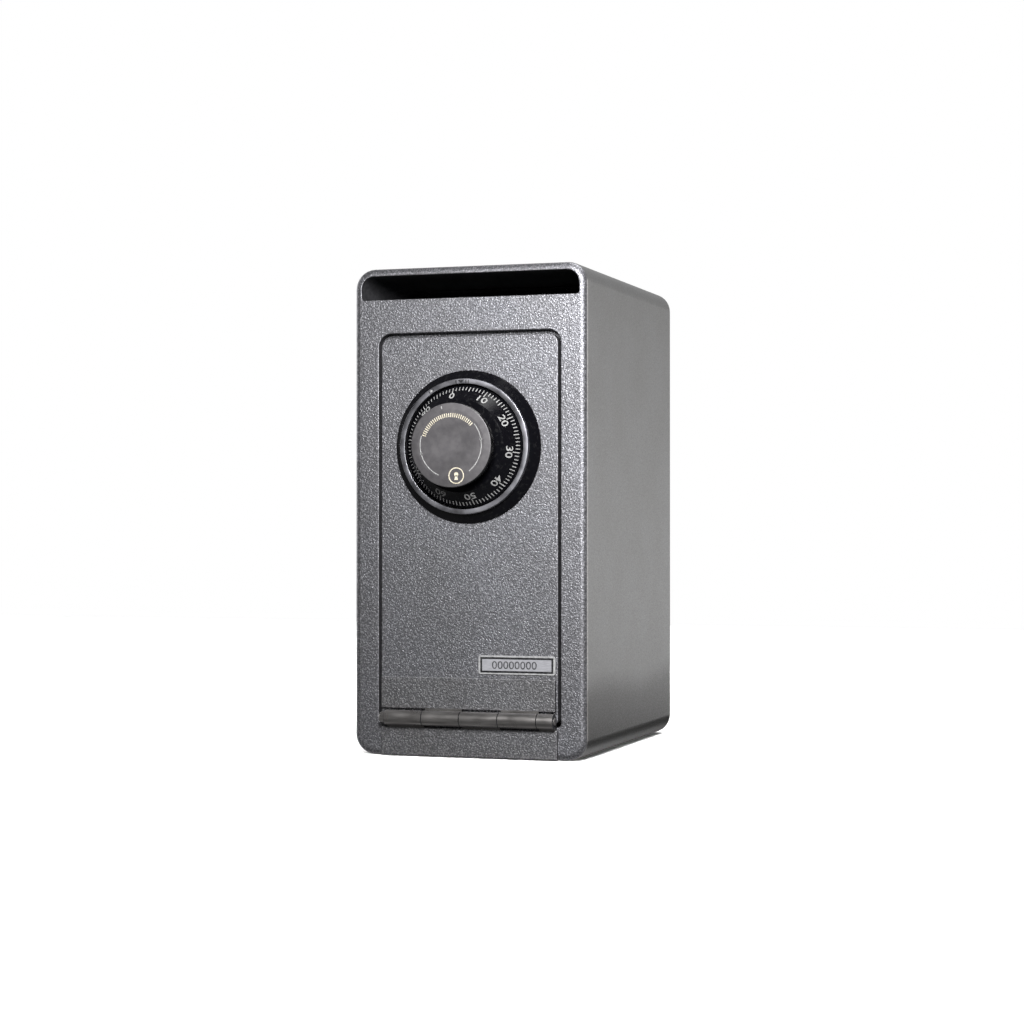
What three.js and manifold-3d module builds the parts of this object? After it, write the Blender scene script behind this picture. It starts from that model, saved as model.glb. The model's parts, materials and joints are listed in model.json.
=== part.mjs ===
// A compact steel depository safe with a full-width deposit slot, a drop-down door on a
// surface hinge and a three-wheel dial combination lock.
// Millimetres. +X right, +Y into the safe, +Z up. The origin is the centre of the flat base.
// Inside the `front` group, y is the depth behind the face of the door.

import * as THREE from "three";
import { mergeVertices } from "three/addons/utils/BufferGeometryUtils.js";
import Module from "manifold-3d";

const wasm = await Module();
wasm.setup();

// ---------------------------------------------------------------- driving dimensions

const SEAM = 0.3; // gap kept between pieces that touch, are welded or run together
const PAST = 1; // how far a cutting shape or a joined shape runs past the face that it meets

// Casing
const CASE_WIDTH = 152.4;
const CASE_HEIGHT = 304.8;
const CASE_DEPTH = 203.2;
const WALL = 4.76;
const CORNER = 12.7;
const FRONT_PLATE = 6.35;
const STRIP = 3.18;
const ANCHOR_RADIUS = 5.5;
const ANCHOR_INSET_X = 38;
const ANCHOR_INSET_END = 45;

// Openings in the front
const SLOT_FLOOR = 285.1;
const OPENING_HALF = 59.7;
const OPENING_TOP = 263.7;
const OPENING_BOTTOM = 20.3;
const OPENING_CORNER = 8;

// Door
const DOOR_HALF = 58.1;
const DOOR_TOP = 261.1;
const DOOR_BOTTOM = 22.5;
const DOOR_CORNER = 6;
const DOOR_FOOT_CORNER = 2;

// Stops behind the door, and the keeper for the bolt
const STOP_INNER = 51.7;
const STOP_OUTER = 65.7;
const STOP_LIP = 257.7;
const STOP_TOP = 270;
const STOP_FOOT = 24;
const KEEPER_HALF = 19;
const KEEPER_TOP = 273.5;

// Deposit chute
const CHUTE_SHEET = 2;
const CHUTE_ANGLE = THREE.MathUtils.degToRad(25);
const CHUTE_END = 72;
const BAFFLE_HALF = 61;
const BAFFLE_ROOT = 92;
const BAFFLE_FLANGE = 12;
const BAFFLE_ROOT_LAP = 1.5;
const BAFFLE_LENGTH = 40;
const BAFFLE_ANGLE = THREE.MathUtils.degToRad(38);
const BAFFLE_TEETH = 11;
const BAFFLE_TOOTH = 5;

// Hinge
const HINGE_DEPTH = -5;
const HINGE_HEIGHT = 24.1;
const LEAF_THICKNESS = 2.3;
const KNUCKLE_RADIUS = 4.7;
const KNUCKLE_STARTS = [-53.1, -28.1, -3.3, 21.7, 46.7];
const KNUCKLES_END = 57.4;
const FIXED_KNUCKLES = [0, 2, 4];
const MOVING_KNUCKLES = [1, 3];
const LEAF_LEFT = -57;
const UPPER_LEAF_RIGHT = 56.9;
const UPPER_LEAF_TOP = 49.3;
const LOWER_LEAF_RIGHT = 58.2;
const LOWER_LEAF_BOTTOM = 0.6;
const NOTCH_CLEARANCE = 1;
const PIN_RADIUS = 2.4;
const PIN_BORE = 2.8;
const PIN_HEAD_RADIUS = 3.4;
const PIN_LEFT = -57;
const PIN_RIGHT = 58;

// Serial label on the door
const LABEL_WIDTH = 49.8;
const LABEL_HEIGHT = 11.6;
const LABEL_CENTRE_X = 31.7;
const LABEL_CENTRE_Z = 57.75;
const LABEL_THICKNESS = 0.6;
const LABEL_CORNER = 1;

// Dead bar on the foot of the door
const DEAD_BAR_HALF = 50;
const DEAD_BAR_BOTTOM = 13;
const DEAD_BAR_TOP = 32;

// Lock, placed about the spindle
const SPINDLE_HEIGHT = 192.3;
const SPINDLE_RADIUS = 4.1;
const SPINDLE_BORE = 4.5;
const SPINDLE_FRONT = -30.4;
const SPINDLE_BACK = 14.2;
const TUBE_RADIUS = 5.8;
const TUBE_HOLE = 6.2;
const TUBE_FRONT = -2.2;
const LOCK_HALF = 30.35;
const LOCK_BELOW = 33;
const LOCK_ABOVE = 49.3;
const LOCK_WALL = 3;
const LOCK_FLOOR = FRONT_PLATE + SEAM;
const COVER_FACE = 35.25;
const COVER_INNER = COVER_FACE - LOCK_WALL;
const MOUNT_SCREW_X = 20.6;
const MOUNT_SCREW_HIGH = 41.3;
const MOUNT_SCREW_LOW = -25.4;
const MOUNT_SCREW_RADIUS = 2.5;
const MOUNT_SCREW_TIP = 2.3;
const MOUNT_HEAD_RADIUS = 4.2;
const MOUNT_HEAD_TOP = 3.3;
const MOUNT_BOSS = 4.6;
const COVER_SCREW_X = 22.3;
const COVER_SCREW_Z = 14;
const COVER_SCREW_RADIUS = 1.7;
const COVER_SCREW_TIP = 22;
const COVER_HEAD_RADIUS = 3.2;
const COVER_HEAD_TOP = 2;
const COVER_BOSS = 3.5;
const CHANGE_HOLE_RADIUS = 2.2;
const CHANGE_HOLE_X = 11;
const CHANGE_HOLE_Z = -9;

// Wheel pack, as depths behind the door's face
const WHEEL_RADIUS = 17.5;
const WHEEL_THICKNESS = 1.8;
const WHEEL_PITCH = 3.4;
const WHEEL_COUNT = 3;
const FIRST_WHEEL = 16.6;
const GATE_WIDTH = 3.6;
const GATE_DEPTH = 4;
const DRIVE_PIN_ORBIT = 10.5;
const DRIVE_PIN_RADIUS = 1;
const POST_RADIUS = 4.5;
const POST_BORE = 4.9;
const POST_SHOULDER = 7;
const POST_TIP = 14.9;
const SPACER_RADIUS = 8.2;
const CLIP_RADIUS = 7.4;
const CLIP_THICKNESS = 0.8;
const CLIP_GAP_HALF = 2;
const CAM_FRONT = 10.3;
const CAM_THICKNESS = 4;
const CAM_GATE_HALF = 4;
const KEY_HALF = 1.2;
const KEY_TOP = 6.7;

// Bolt and lever
const BOLT_HALF = 12.7;
const BOLT_FRONT = 13.9;
const BOLT_THICKNESS = 8;
const BOLT_FOOT = 18.9;
const EXTENSION_TIP = 63.2;
const EXTENSION_SCREW_X = 7;
const EXTENSION_SCREW_RADIUS = 1.5;
const EXTENSION_SCREW_FOOT = 36.8;
const EXTENSION_HEAD_RADIUS = 3;
const EXTENSION_HEAD_SEAT = 59.9;
const EXTENSION_HEAD_TOP = 62.7;
const LEVER_FRONT = 10.6;
const LEVER_THICKNESS = 3;
const LEVER_INNER = 18.2;
const LEVER_OUTER = 24.2;
const LEVER_PIVOT_X = 9;
const LEVER_PIVOT_Z = 22;
const LEVER_HEEL = 4;
const LEVER_TOE = -4.5;
const LEVER_ARM_HALF = 3.3;
const LEVER_SCREW_RADIUS = 2.1;
const LEVER_SCREW_TIP = 19.2;
const LEVER_HEAD_RADIUS = 2.8;
const LEVER_HEAD_THICKNESS = 1.1;
const SPRING_COIL_RADIUS = 2;
const SPRING_WIRE_RADIUS = 0.45;
const SPRING_PITCH = 1.2;
const SPRING_TURNS = 2.5;
const SPRING_STEPS_PER_TURN = 10;
const SPRING_X = 15.6;
const SPRING_Z = 25.4;
const SPRING_LEG_X = 21.8;
const SPRING_LEG_Z = 8;
const FENCE_THICKNESS = 2.7;
const FENCE_HALF = 1.7;
const FENCE_BACK = 26.4;

// Dial, ring and knob, as radius and height proud of the door's face
const RING_RADIUS = 47.4;
const RING_LIP = 1.2;
const RING_FLOOR = 3;
const RIM_OUTER = 41.8;
const RIM_INNER = 38.6;
const RIM_HEIGHT = 9.4;
const RIM_WALL = 6.4;
const RING_SCREW_X = 25;
const RING_SCREW_RADIUS = 1.7;
const RING_SCREW_TIP = 4.4;
const RING_HEAD_RADIUS = 3;
const DIAL_RADIUS = 37.7;
const DIAL_BACK = 4.2;
const DIAL_EDGE = 7;
const DIAL_CONE_TOP_RADIUS = 28.4;
const DIAL_CONE_TOP = 17;
const KNOB_BASE_RADIUS = 21.5;
const KNOB_RADIUS = 26;
const KNOB_TOP = 31;
const KNOB_FOOT = 4;
const KNOB_GRIP = 5;
const KNOB_EDGE = 0.6;
const CAP_RADIUS = 25.6;
const CAP_FACE = 32.2;
const CAP_EDGE = 0.4;
const CAP_BEVEL = 1.2;

// Facets
const ARC = 4;
const ROUND = 24;
const SMALL_ROUND = 12;
const DIAL_ROUND = 48;
const WHEEL_ROUND = 32;
const LABEL_ARC = 3;
const SPRING_STEPS = 36;
const SPRING_SIDES = 6;

// ---------------------------------------------------------------- finishes

const FINISHES = {
  paint: [0x86868a, 0.5, 0.55],
  primer: [0x2b2b2d, 0.8, 0.2],
  hingeSteel: [0x5c5855, 0.5, 0.7],
  steel: [0x9a9c9f, 0.35, 0.9],
  springSteel: [0x6f7277, 0.3, 0.95],
  zinc: [0xa8a9a6, 0.45, 0.8],
  brass: [0xb99a55, 0.35, 0.9],
  dialBlack: [0x0b0b0d, 0.15, 0.0],
  knobBlack: [0x101012, 0.35, 0.0],
  capGrey: [0x77757a, 0.4, 0.5],
  label: [0xc6c8cb, 0.4, 0.6],
};

function finish(name) {
  const [color, roughness, metalness] = FINISHES[name];
  return new THREE.MeshStandardMaterial({ color, roughness, metalness });
}

// ---------------------------------------------------------------- solids

function toSolid(geometry) {
  const bare = geometry.clone();
  bare.deleteAttribute("normal");
  bare.deleteAttribute("uv");
  const merged = mergeVertices(bare, 1e-5);
  return new wasm.Manifold(
    new wasm.Mesh({
      numProp: 3,
      vertProperties: new Float32Array(merged.attributes.position.array),
      triVerts: new Uint32Array(merged.index.array),
    }),
  );
}

function toGeometry(solid) {
  const mesh = solid.getMesh();
  const geometry = new THREE.BufferGeometry();
  geometry.setAttribute("position", new THREE.BufferAttribute(mesh.vertProperties, 3));
  geometry.setIndex(new THREE.BufferAttribute(mesh.triVerts, 1));
  geometry.computeVertexNormals();
  return geometry;
}

function cut(geometry, ...tools) {
  const solid = tools.reduce((rest, tool) => rest.subtract(toSolid(tool)), toSolid(geometry));
  return toGeometry(solid);
}

function join(...geometries) {
  return toGeometry(geometries.map(toSolid).reduce((sum, next) => sum.add(next)));
}

// ---------------------------------------------------------------- shapes

function roundedRect(x0, x1, z0, z1, topRadius, footRadius) {
  const shape = new THREE.Shape();
  const quarter = Math.PI / 2;
  shape.absarc(x1 - footRadius, z0 + footRadius, footRadius, -quarter, 0, false);
  shape.absarc(x1 - topRadius, z1 - topRadius, topRadius, 0, quarter, false);
  shape.absarc(x0 + topRadius, z1 - topRadius, topRadius, quarter, 2 * quarter, false);
  shape.absarc(x0 + footRadius, z0 + footRadius, footRadius, 2 * quarter, 3 * quarter, false);
  shape.closePath();
  return shape;
}

// Extrudes an outline drawn in x and z through the depths y0 to y1.
function slab(shape, y0, y1, curveSegments = ARC) {
  const options = { depth: y1 - y0, bevelEnabled: false, curveSegments };
  return new THREE.ExtrudeGeometry(shape, options).rotateX(Math.PI / 2).translate(0, y1, 0);
}

// Extrudes a profile drawn in depth and z across the width x0 to x1.
function across(points, x0, x1) {
  const shape = new THREE.Shape(points.map(([depth, z]) => new THREE.Vector2(depth, z)));
  const toWorld = new THREE.Matrix4().makeBasis(
    new THREE.Vector3(0, 1, 0),
    new THREE.Vector3(0, 0, 1),
    new THREE.Vector3(1, 0, 0),
  );
  const geometry = new THREE.ExtrudeGeometry(shape, { depth: x1 - x0, bevelEnabled: false });
  return geometry.applyMatrix4(toWorld).translate(x0, 0, 0);
}

function block(x0, x1, y0, y1, z0, z1) {
  const box = new THREE.BoxGeometry(x1 - x0, y1 - y0, z1 - z0);
  return box.translate((x0 + x1) / 2, (y0 + y1) / 2, (z0 + z1) / 2);
}

// A cylinder from y0 to y1 about the point x, z.
function rod(radius, y0, y1, x = 0, z = 0, sides = SMALL_ROUND) {
  const cylinder = new THREE.CylinderGeometry(radius, radius, y1 - y0, sides);
  return cylinder.translate(x, (y0 + y1) / 2, z);
}

// A cylinder from x0 to x1 about the hinge's axis.
function hingeRod(radius, x0, x1, sides) {
  const cylinder = new THREE.CylinderGeometry(radius, radius, x1 - x0, sides);
  return cylinder.rotateZ(Math.PI / 2).translate((x0 + x1) / 2, HINGE_DEPTH, HINGE_HEIGHT);
}

function drillDown(radius, x, y, z0, z1) {
  const cylinder = new THREE.CylinderGeometry(radius, radius, z1 - z0, SMALL_ROUND);
  return cylinder.rotateX(Math.PI / 2).translate(x, y, (z0 + z1) / 2);
}

// Turns a closed outline of [radius, depth] points about the spindle's axis.
function turned(outline, sides) {
  const points = outline.map(([radius, depth]) => new THREE.Vector2(radius, depth));
  const ordered = THREE.ShapeUtils.isClockWise(points) ? points.reverse() : points;
  ordered.push(ordered[0].clone());
  return new THREE.LatheGeometry(ordered, sides);
}

function washer(inner, outer, y0, y1, sides = ROUND) {
  return turned([[inner, y0], [outer, y0], [outer, y1], [inner, y1]], sides);
}

// ---------------------------------------------------------------- casing

function anchorPoints(low, high) {
  const columns = [-ANCHOR_INSET_X, ANCHOR_INSET_X];
  return columns.flatMap((x) => [low + ANCHOR_INSET_END, high - ANCHOR_INSET_END].map((s) => [x, s]));
}

function bodyShell() {
  const half = CASE_WIDTH / 2;
  const inner = CORNER - WALL;
  const outline = roundedRect(-half, half, 0, CASE_HEIGHT, CORNER, CORNER);
  outline.holes.push(roundedRect(WALL - half, half - WALL, WALL, CASE_HEIGHT - WALL, inner, inner));
  const drills = anchorPoints(0, CASE_DEPTH).map(([x, y]) => drillDown(ANCHOR_RADIUS, x, y, -PAST, WALL + PAST));
  return cut(slab(outline, 0, CASE_DEPTH), ...drills);
}

function backPlate() {
  const inset = WALL + SEAM;
  const half = CASE_WIDTH / 2 - inset;
  const corner = CORNER - inset;
  const outline = roundedRect(-half, half, inset, CASE_HEIGHT - inset, corner, corner);
  const front = CASE_DEPTH - WALL;
  const points = anchorPoints(0, CASE_HEIGHT);
  const drills = points.map(([x, z]) => rod(ANCHOR_RADIUS, front - PAST, CASE_DEPTH + PAST, x, z));
  return cut(slab(outline, front, CASE_DEPTH), ...drills);
}

function frontFrame() {
  const inset = WALL + SEAM;
  const half = CASE_WIDTH / 2 - inset;
  const outline = roundedRect(-half, half, inset, SLOT_FLOOR, SEAM, CORNER - inset);
  const opening = roundedRect(
    -OPENING_HALF, OPENING_HALF, OPENING_BOTTOM, OPENING_TOP, OPENING_CORNER, DOOR_FOOT_CORNER,
  );
  outline.holes.push(opening);
  return slab(outline, 0, FRONT_PLATE);
}

function doorStopSide(side) {
  const [x0, x1] = side < 0 ? [-STOP_OUTER, -STOP_INNER] : [STOP_INNER, STOP_OUTER];
  return block(x0, x1, LOCK_FLOOR, LOCK_FLOOR + STRIP, STOP_FOOT, STOP_LIP - SEAM);
}

function doorStopTop() {
  return block(-STOP_OUTER, STOP_OUTER, LOCK_FLOOR, LOCK_FLOOR + STRIP, STOP_LIP, STOP_TOP);
}

function strikePlate() {
  const front = LOCK_FLOOR + STRIP + SEAM;
  return block(-KEEPER_HALF, KEEPER_HALF, front, front + STRIP, STOP_LIP, KEEPER_TOP);
}

function chuteRamp() {
  const half = CASE_WIDTH / 2 - WALL - SEAM;
  const start = FRONT_PLATE + SEAM;
  const top = SLOT_FLOOR - SEAM;
  const drop = (CHUTE_END - start) * Math.tan(CHUTE_ANGLE);
  const sheet = CHUTE_SHEET / Math.cos(CHUTE_ANGLE);
  const profile = [
    [start, top - sheet],
    [CHUTE_END, top - sheet - drop],
    [CHUTE_END, top - drop],
    [start, top],
  ];
  return across(profile, -half, half);
}

function antiFishBaffle() {
  const pitch = (2 * BAFFLE_HALF) / BAFFLE_TEETH;
  const outline = new THREE.Shape();
  outline.moveTo(-BAFFLE_HALF, BAFFLE_ROOT_LAP);
  for (let tooth = 0; tooth < BAFFLE_TEETH; tooth += 1) {
    const left = -BAFFLE_HALF + tooth * pitch;
    outline.lineTo(left, BAFFLE_TOOTH - BAFFLE_LENGTH);
    outline.lineTo(left + pitch / 2, -BAFFLE_LENGTH);
  }
  outline.lineTo(BAFFLE_HALF, BAFFLE_TOOTH - BAFFLE_LENGTH);
  outline.lineTo(BAFFLE_HALF, BAFFLE_ROOT_LAP);
  outline.closePath();
  const ceiling = CASE_HEIGHT - WALL - SEAM;
  const lean = BAFFLE_ANGLE - Math.PI / 2;
  const apron = slab(outline, 0, CHUTE_SHEET).rotateX(lean).translate(0, BAFFLE_ROOT, ceiling - CHUTE_SHEET);
  const end = BAFFLE_ROOT + BAFFLE_FLANGE;
  const flange = block(-BAFFLE_HALF, BAFFLE_HALF, BAFFLE_ROOT, end, ceiling - CHUTE_SHEET, ceiling);
  return join(apron, flange);
}

// ---------------------------------------------------------------- hinge

function knuckleSpan(index) {
  const end = index + 1 < KNUCKLE_STARTS.length ? KNUCKLE_STARTS[index + 1] : KNUCKLES_END;
  return [KNUCKLE_STARTS[index] + SEAM / 2, end - SEAM / 2];
}

// A leaf with its own knuckles, notched round the knuckles of the other leaf.
function hingeLeaf(x0, x1, z0, z1, own, other) {
  const front = -SEAM - LEAF_THICKNESS;
  const plate = block(x0, x1, front, -SEAM, z0, z1);
  const barrels = own.map((index) => hingeRod(KNUCKLE_RADIUS, ...knuckleSpan(index), ROUND));
  const reach = KNUCKLE_RADIUS + NOTCH_CLEARANCE;
  const notches = other.map((index) => {
    const [start, end] = knuckleSpan(index);
    const low = HINGE_HEIGHT - reach;
    return block(start - SEAM, end + SEAM, front - PAST, PAST, low, HINGE_HEIGHT + reach);
  });
  const spans = [[x0 - PAST, KNUCKLE_STARTS[0]], [KNUCKLES_END, x1 + PAST]];
  const ends = spans.map(([start, end]) =>
    block(start, end, front - PAST, PAST, HINGE_HEIGHT - reach, HINGE_HEIGHT + reach));
  const bore = hingeRod(PIN_BORE, x0 - PAST, x1 + PAST, SMALL_ROUND);
  return cut(join(cut(plate, ...notches, ...ends), ...barrels), bore);
}

function hingeLowerLeaf() {
  const bottom = LOWER_LEAF_BOTTOM;
  return hingeLeaf(LEAF_LEFT, LOWER_LEAF_RIGHT, bottom, HINGE_HEIGHT, FIXED_KNUCKLES, MOVING_KNUCKLES);
}

function hingeUpperLeaf() {
  const top = UPPER_LEAF_TOP;
  return hingeLeaf(LEAF_LEFT, UPPER_LEAF_RIGHT, HINGE_HEIGHT, top, MOVING_KNUCKLES, FIXED_KNUCKLES);
}

function hingePin() {
  const head = hingeRod(PIN_HEAD_RADIUS, PIN_LEFT, KNUCKLE_STARTS[0] - SEAM, SMALL_ROUND);
  return join(head, hingeRod(PIN_RADIUS, KNUCKLE_STARTS[0] - PAST, PIN_RIGHT, SMALL_ROUND));
}

// ---------------------------------------------------------------- door

function mountScrewPoints() {
  const columns = [-MOUNT_SCREW_X, MOUNT_SCREW_X];
  return [MOUNT_SCREW_HIGH, MOUNT_SCREW_LOW].flatMap((z) => columns.map((x) => [x, z]));
}

function coverScrewPoints() {
  return [[-COVER_SCREW_X, COVER_SCREW_Z], [COVER_SCREW_X, -COVER_SCREW_Z]];
}

function doorPlate() {
  const outline = roundedRect(
    -DOOR_HALF, DOOR_HALF, DOOR_BOTTOM, DOOR_TOP, DOOR_CORNER, DOOR_FOOT_CORNER,
  );
  const lockHoles = mountScrewPoints().map(([x, z]) =>
    rod(MOUNT_SCREW_RADIUS + SEAM, MOUNT_SCREW_TIP - SEAM, FRONT_PLATE + PAST, x, SPINDLE_HEIGHT + z));
  const ringHoles = [-RING_SCREW_X, RING_SCREW_X].map((x) =>
    rod(RING_SCREW_RADIUS + SEAM, -PAST, RING_SCREW_TIP + SEAM, x, SPINDLE_HEIGHT));
  const spindleHole = rod(TUBE_HOLE, -PAST, FRONT_PLATE + PAST, 0, SPINDLE_HEIGHT, ROUND);
  return cut(slab(outline, 0, FRONT_PLATE), spindleHole, ...lockHoles, ...ringHoles);
}

function deadBar() {
  const back = LOCK_FLOOR + WALL;
  return block(-DEAD_BAR_HALF, DEAD_BAR_HALF, LOCK_FLOOR, back, DEAD_BAR_BOTTOM, DEAD_BAR_TOP);
}

function serialLabel() {
  const x0 = LABEL_CENTRE_X - LABEL_WIDTH / 2;
  const z0 = LABEL_CENTRE_Z - LABEL_HEIGHT / 2;
  const outline = roundedRect(x0, x0 + LABEL_WIDTH, z0, z0 + LABEL_HEIGHT, LABEL_CORNER, LABEL_CORNER);
  return slab(outline, -SEAM - LABEL_THICKNESS, -SEAM, LABEL_ARC);
}

// ---------------------------------------------------------------- dial and ring

function dialRing() {
  const profile = [
    [TUBE_HOLE, -SEAM],
    [RING_RADIUS, -SEAM],
    [RING_RADIUS, -RING_LIP],
    [RIM_OUTER, -RIM_WALL],
    [RIM_OUTER, -RIM_HEIGHT],
    [RIM_INNER, -RIM_HEIGHT],
    [RIM_INNER, -RING_FLOOR],
    [TUBE_HOLE, -RING_FLOOR],
  ];
  const holes = [-RING_SCREW_X, RING_SCREW_X].map((x) => rod(RING_SCREW_RADIUS + SEAM, -RING_FLOOR - PAST, 0, x));
  return cut(turned(profile, DIAL_ROUND), ...holes);
}

function dial() {
  const profile = [
    [SPINDLE_BORE, -DIAL_BACK],
    [DIAL_RADIUS, -DIAL_BACK],
    [DIAL_RADIUS, -DIAL_EDGE],
    [DIAL_CONE_TOP_RADIUS, -DIAL_CONE_TOP],
    [SPINDLE_BORE, -DIAL_CONE_TOP],
  ];
  return turned(profile, DIAL_ROUND);
}

function knob() {
  const base = DIAL_CONE_TOP + SEAM;
  const profile = [
    [SPINDLE_BORE, -base],
    [KNOB_BASE_RADIUS, -base],
    [KNOB_BASE_RADIUS, -base - KNOB_FOOT],
    [KNOB_RADIUS, -KNOB_TOP + KNOB_GRIP],
    [KNOB_RADIUS, -KNOB_TOP + KNOB_EDGE],
    [KNOB_RADIUS - KNOB_EDGE, -KNOB_TOP],
    [SPINDLE_BORE, -KNOB_TOP],
  ];
  return turned(profile, DIAL_ROUND);
}

function knobCap() {
  const profile = [
    [0, -KNOB_TOP - SEAM],
    [CAP_RADIUS, -KNOB_TOP - SEAM],
    [CAP_RADIUS, -CAP_FACE + CAP_EDGE],
    [CAP_RADIUS - CAP_BEVEL, -CAP_FACE],
    [0, -CAP_FACE],
  ];
  const points = profile.map(([radius, depth]) => new THREE.Vector2(radius, depth)).reverse();
  return new THREE.LatheGeometry(points, DIAL_ROUND);
}

function driveCam() {
  const back = CAM_FRONT + CAM_THICKNESS;
  const disc = washer(SPINDLE_BORE, WHEEL_RADIUS, CAM_FRONT, back, WHEEL_ROUND);
  const keywayHalf = KEY_HALF + SEAM;
  const gate = block(
    WHEEL_RADIUS - GATE_DEPTH, WHEEL_RADIUS + PAST, CAM_FRONT - PAST, back + PAST, -CAM_GATE_HALF, CAM_GATE_HALF,
  );
  const keyway = block(
    -keywayHalf, keywayHalf, CAM_FRONT - PAST, back + PAST, SPINDLE_BORE - PAST, KEY_TOP + SEAM,
  );
  const pin = rod(DRIVE_PIN_RADIUS, back - PAST, FIRST_WHEEL - SEAM, 0, -DRIVE_PIN_ORBIT);
  return join(cut(disc, gate, keyway), pin);
}

function splineKey() {
  return block(-KEY_HALF, KEY_HALF, CAM_FRONT, CAM_FRONT + CAM_THICKNESS, SPINDLE_RADIUS + SEAM, KEY_TOP);
}

function wheel(front) {
  const back = front + WHEEL_THICKNESS;
  const disc = washer(POST_BORE, WHEEL_RADIUS, front, back, WHEEL_ROUND);
  const gate = block(
    WHEEL_RADIUS - GATE_DEPTH, WHEEL_RADIUS + PAST, front - PAST, back + PAST, -GATE_WIDTH / 2, GATE_WIDTH / 2,
  );
  const pin = rod(DRIVE_PIN_RADIUS, back - PAST, front + WHEEL_PITCH - SEAM, 0, -DRIVE_PIN_ORBIT);
  return join(cut(disc, gate), pin);
}

// An open ring that snaps into the groove at the end of the wheel post.
function retainingClip() {
  const front = FIRST_WHEEL - SEAM - CLIP_THICKNESS;
  const back = front + CLIP_THICKNESS;
  const gap = block(-CLIP_GAP_HALF, CLIP_GAP_HALF, front - PAST, back + PAST, 0, CLIP_RADIUS + PAST);
  return cut(washer(POST_BORE, CLIP_RADIUS, front, back), gap);
}

function wheelSpacer(front) {
  const start = front + WHEEL_THICKNESS + SEAM;
  return washer(POST_BORE, SPACER_RADIUS, start, front + WHEEL_PITCH - SEAM);
}

// ---------------------------------------------------------------- lock case

function lockCase() {
  const rear = COVER_INNER - SEAM;
  const inside = LOCK_HALF - LOCK_WALL;
  const floor = LOCK_FLOOR + LOCK_WALL;
  const shell = cut(
    block(-LOCK_HALF, LOCK_HALF, LOCK_FLOOR, rear, -LOCK_BELOW, LOCK_ABOVE),
    block(-inside, inside, floor, rear + PAST, LOCK_WALL - LOCK_BELOW, LOCK_ABOVE - LOCK_WALL),
  );
  const mountBosses = mountScrewPoints().map(([x, z]) => rod(MOUNT_BOSS, floor - PAST, rear, x, z));
  const coverBosses = coverScrewPoints().map(([x, z]) => rod(COVER_BOSS, floor - PAST, rear, x, z));
  const boltWay = block(
    -BOLT_HALF - SEAM, BOLT_HALF + SEAM,
    BOLT_FRONT - SEAM, BOLT_FRONT + BOLT_THICKNESS + SEAM,
    LOCK_ABOVE - LOCK_WALL - PAST, LOCK_ABOVE + PAST,
  );
  const mountHoles = mountScrewPoints().map(([x, z]) =>
    rod(MOUNT_SCREW_RADIUS + SEAM, LOCK_FLOOR - PAST, rear + PAST, x, z));
  const coverHoles = coverScrewPoints().map(([x, z]) =>
    rod(COVER_SCREW_RADIUS + SEAM, COVER_SCREW_TIP - PAST, rear + PAST, x, z));
  const tubeHole = rod(TUBE_HOLE, LOCK_FLOOR - PAST, floor + PAST, 0, 0, ROUND);
  return cut(join(shell, ...mountBosses, ...coverBosses), boltWay, tubeHole, ...mountHoles, ...coverHoles);
}

function lockCover() {
  const plate = block(-LOCK_HALF, LOCK_HALF, COVER_INNER, COVER_FACE, -LOCK_BELOW, LOCK_ABOVE);
  const lastWheel = FIRST_WHEEL + (WHEEL_COUNT - 1) * WHEEL_PITCH;
  const shoulderFront = lastWheel + WHEEL_THICKNESS + SEAM;
  const shoulder = rod(POST_SHOULDER, shoulderFront, COVER_INNER + PAST, 0, 0, ROUND);
  const post = rod(POST_RADIUS, POST_TIP, COVER_INNER + PAST, 0, 0, ROUND);
  const through = (radius, x, z) => rod(radius, COVER_INNER - PAST, COVER_FACE + PAST, x, z);
  const mountHoles = mountScrewPoints().map(([x, z]) => through(MOUNT_SCREW_RADIUS + SEAM, x, z));
  const coverHoles = coverScrewPoints().map(([x, z]) => through(COVER_SCREW_RADIUS + SEAM, x, z));
  const changeHole = through(CHANGE_HOLE_RADIUS, CHANGE_HOLE_X, CHANGE_HOLE_Z);
  return cut(join(plate, shoulder, post), changeHole, ...mountHoles, ...coverHoles);
}

function spindleTube() {
  return washer(SPINDLE_BORE, TUBE_RADIUS, TUBE_FRONT, LOCK_FLOOR + LOCK_WALL - SEAM);
}

// ---------------------------------------------------------------- bolt and lever

function lockBolt() {
  const back = BOLT_FRONT + BOLT_THICKNESS;
  const middle = (BOLT_FRONT + back) / 2;
  const bar = block(-BOLT_HALF, BOLT_HALF, BOLT_FRONT, back, BOLT_FOOT, LOCK_ABOVE);
  const leverHole = rod(
    LEVER_SCREW_RADIUS + SEAM, BOLT_FRONT - PAST, LEVER_SCREW_TIP + SEAM, LEVER_PIVOT_X, LEVER_PIVOT_Z,
  );
  const taps = [-EXTENSION_SCREW_X, EXTENSION_SCREW_X].map((x) =>
    drillDown(EXTENSION_SCREW_RADIUS + SEAM, x, middle, EXTENSION_SCREW_FOOT - SEAM, LOCK_ABOVE + PAST));
  return cut(bar, leverHole, ...taps);
}

function boltExtension() {
  const back = BOLT_FRONT + BOLT_THICKNESS;
  const middle = (BOLT_FRONT + back) / 2;
  const foot = LOCK_ABOVE + SEAM;
  const bar = block(-BOLT_HALF, BOLT_HALF, BOLT_FRONT, back, foot, EXTENSION_TIP);
  const drills = [-EXTENSION_SCREW_X, EXTENSION_SCREW_X].flatMap((x) => [
    drillDown(EXTENSION_SCREW_RADIUS + SEAM, x, middle, foot - PAST, EXTENSION_TIP + PAST),
    drillDown(EXTENSION_HEAD_RADIUS + SEAM, x, middle, EXTENSION_HEAD_SEAT, EXTENSION_TIP + PAST),
  ]);
  return cut(bar, ...drills);
}

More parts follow.
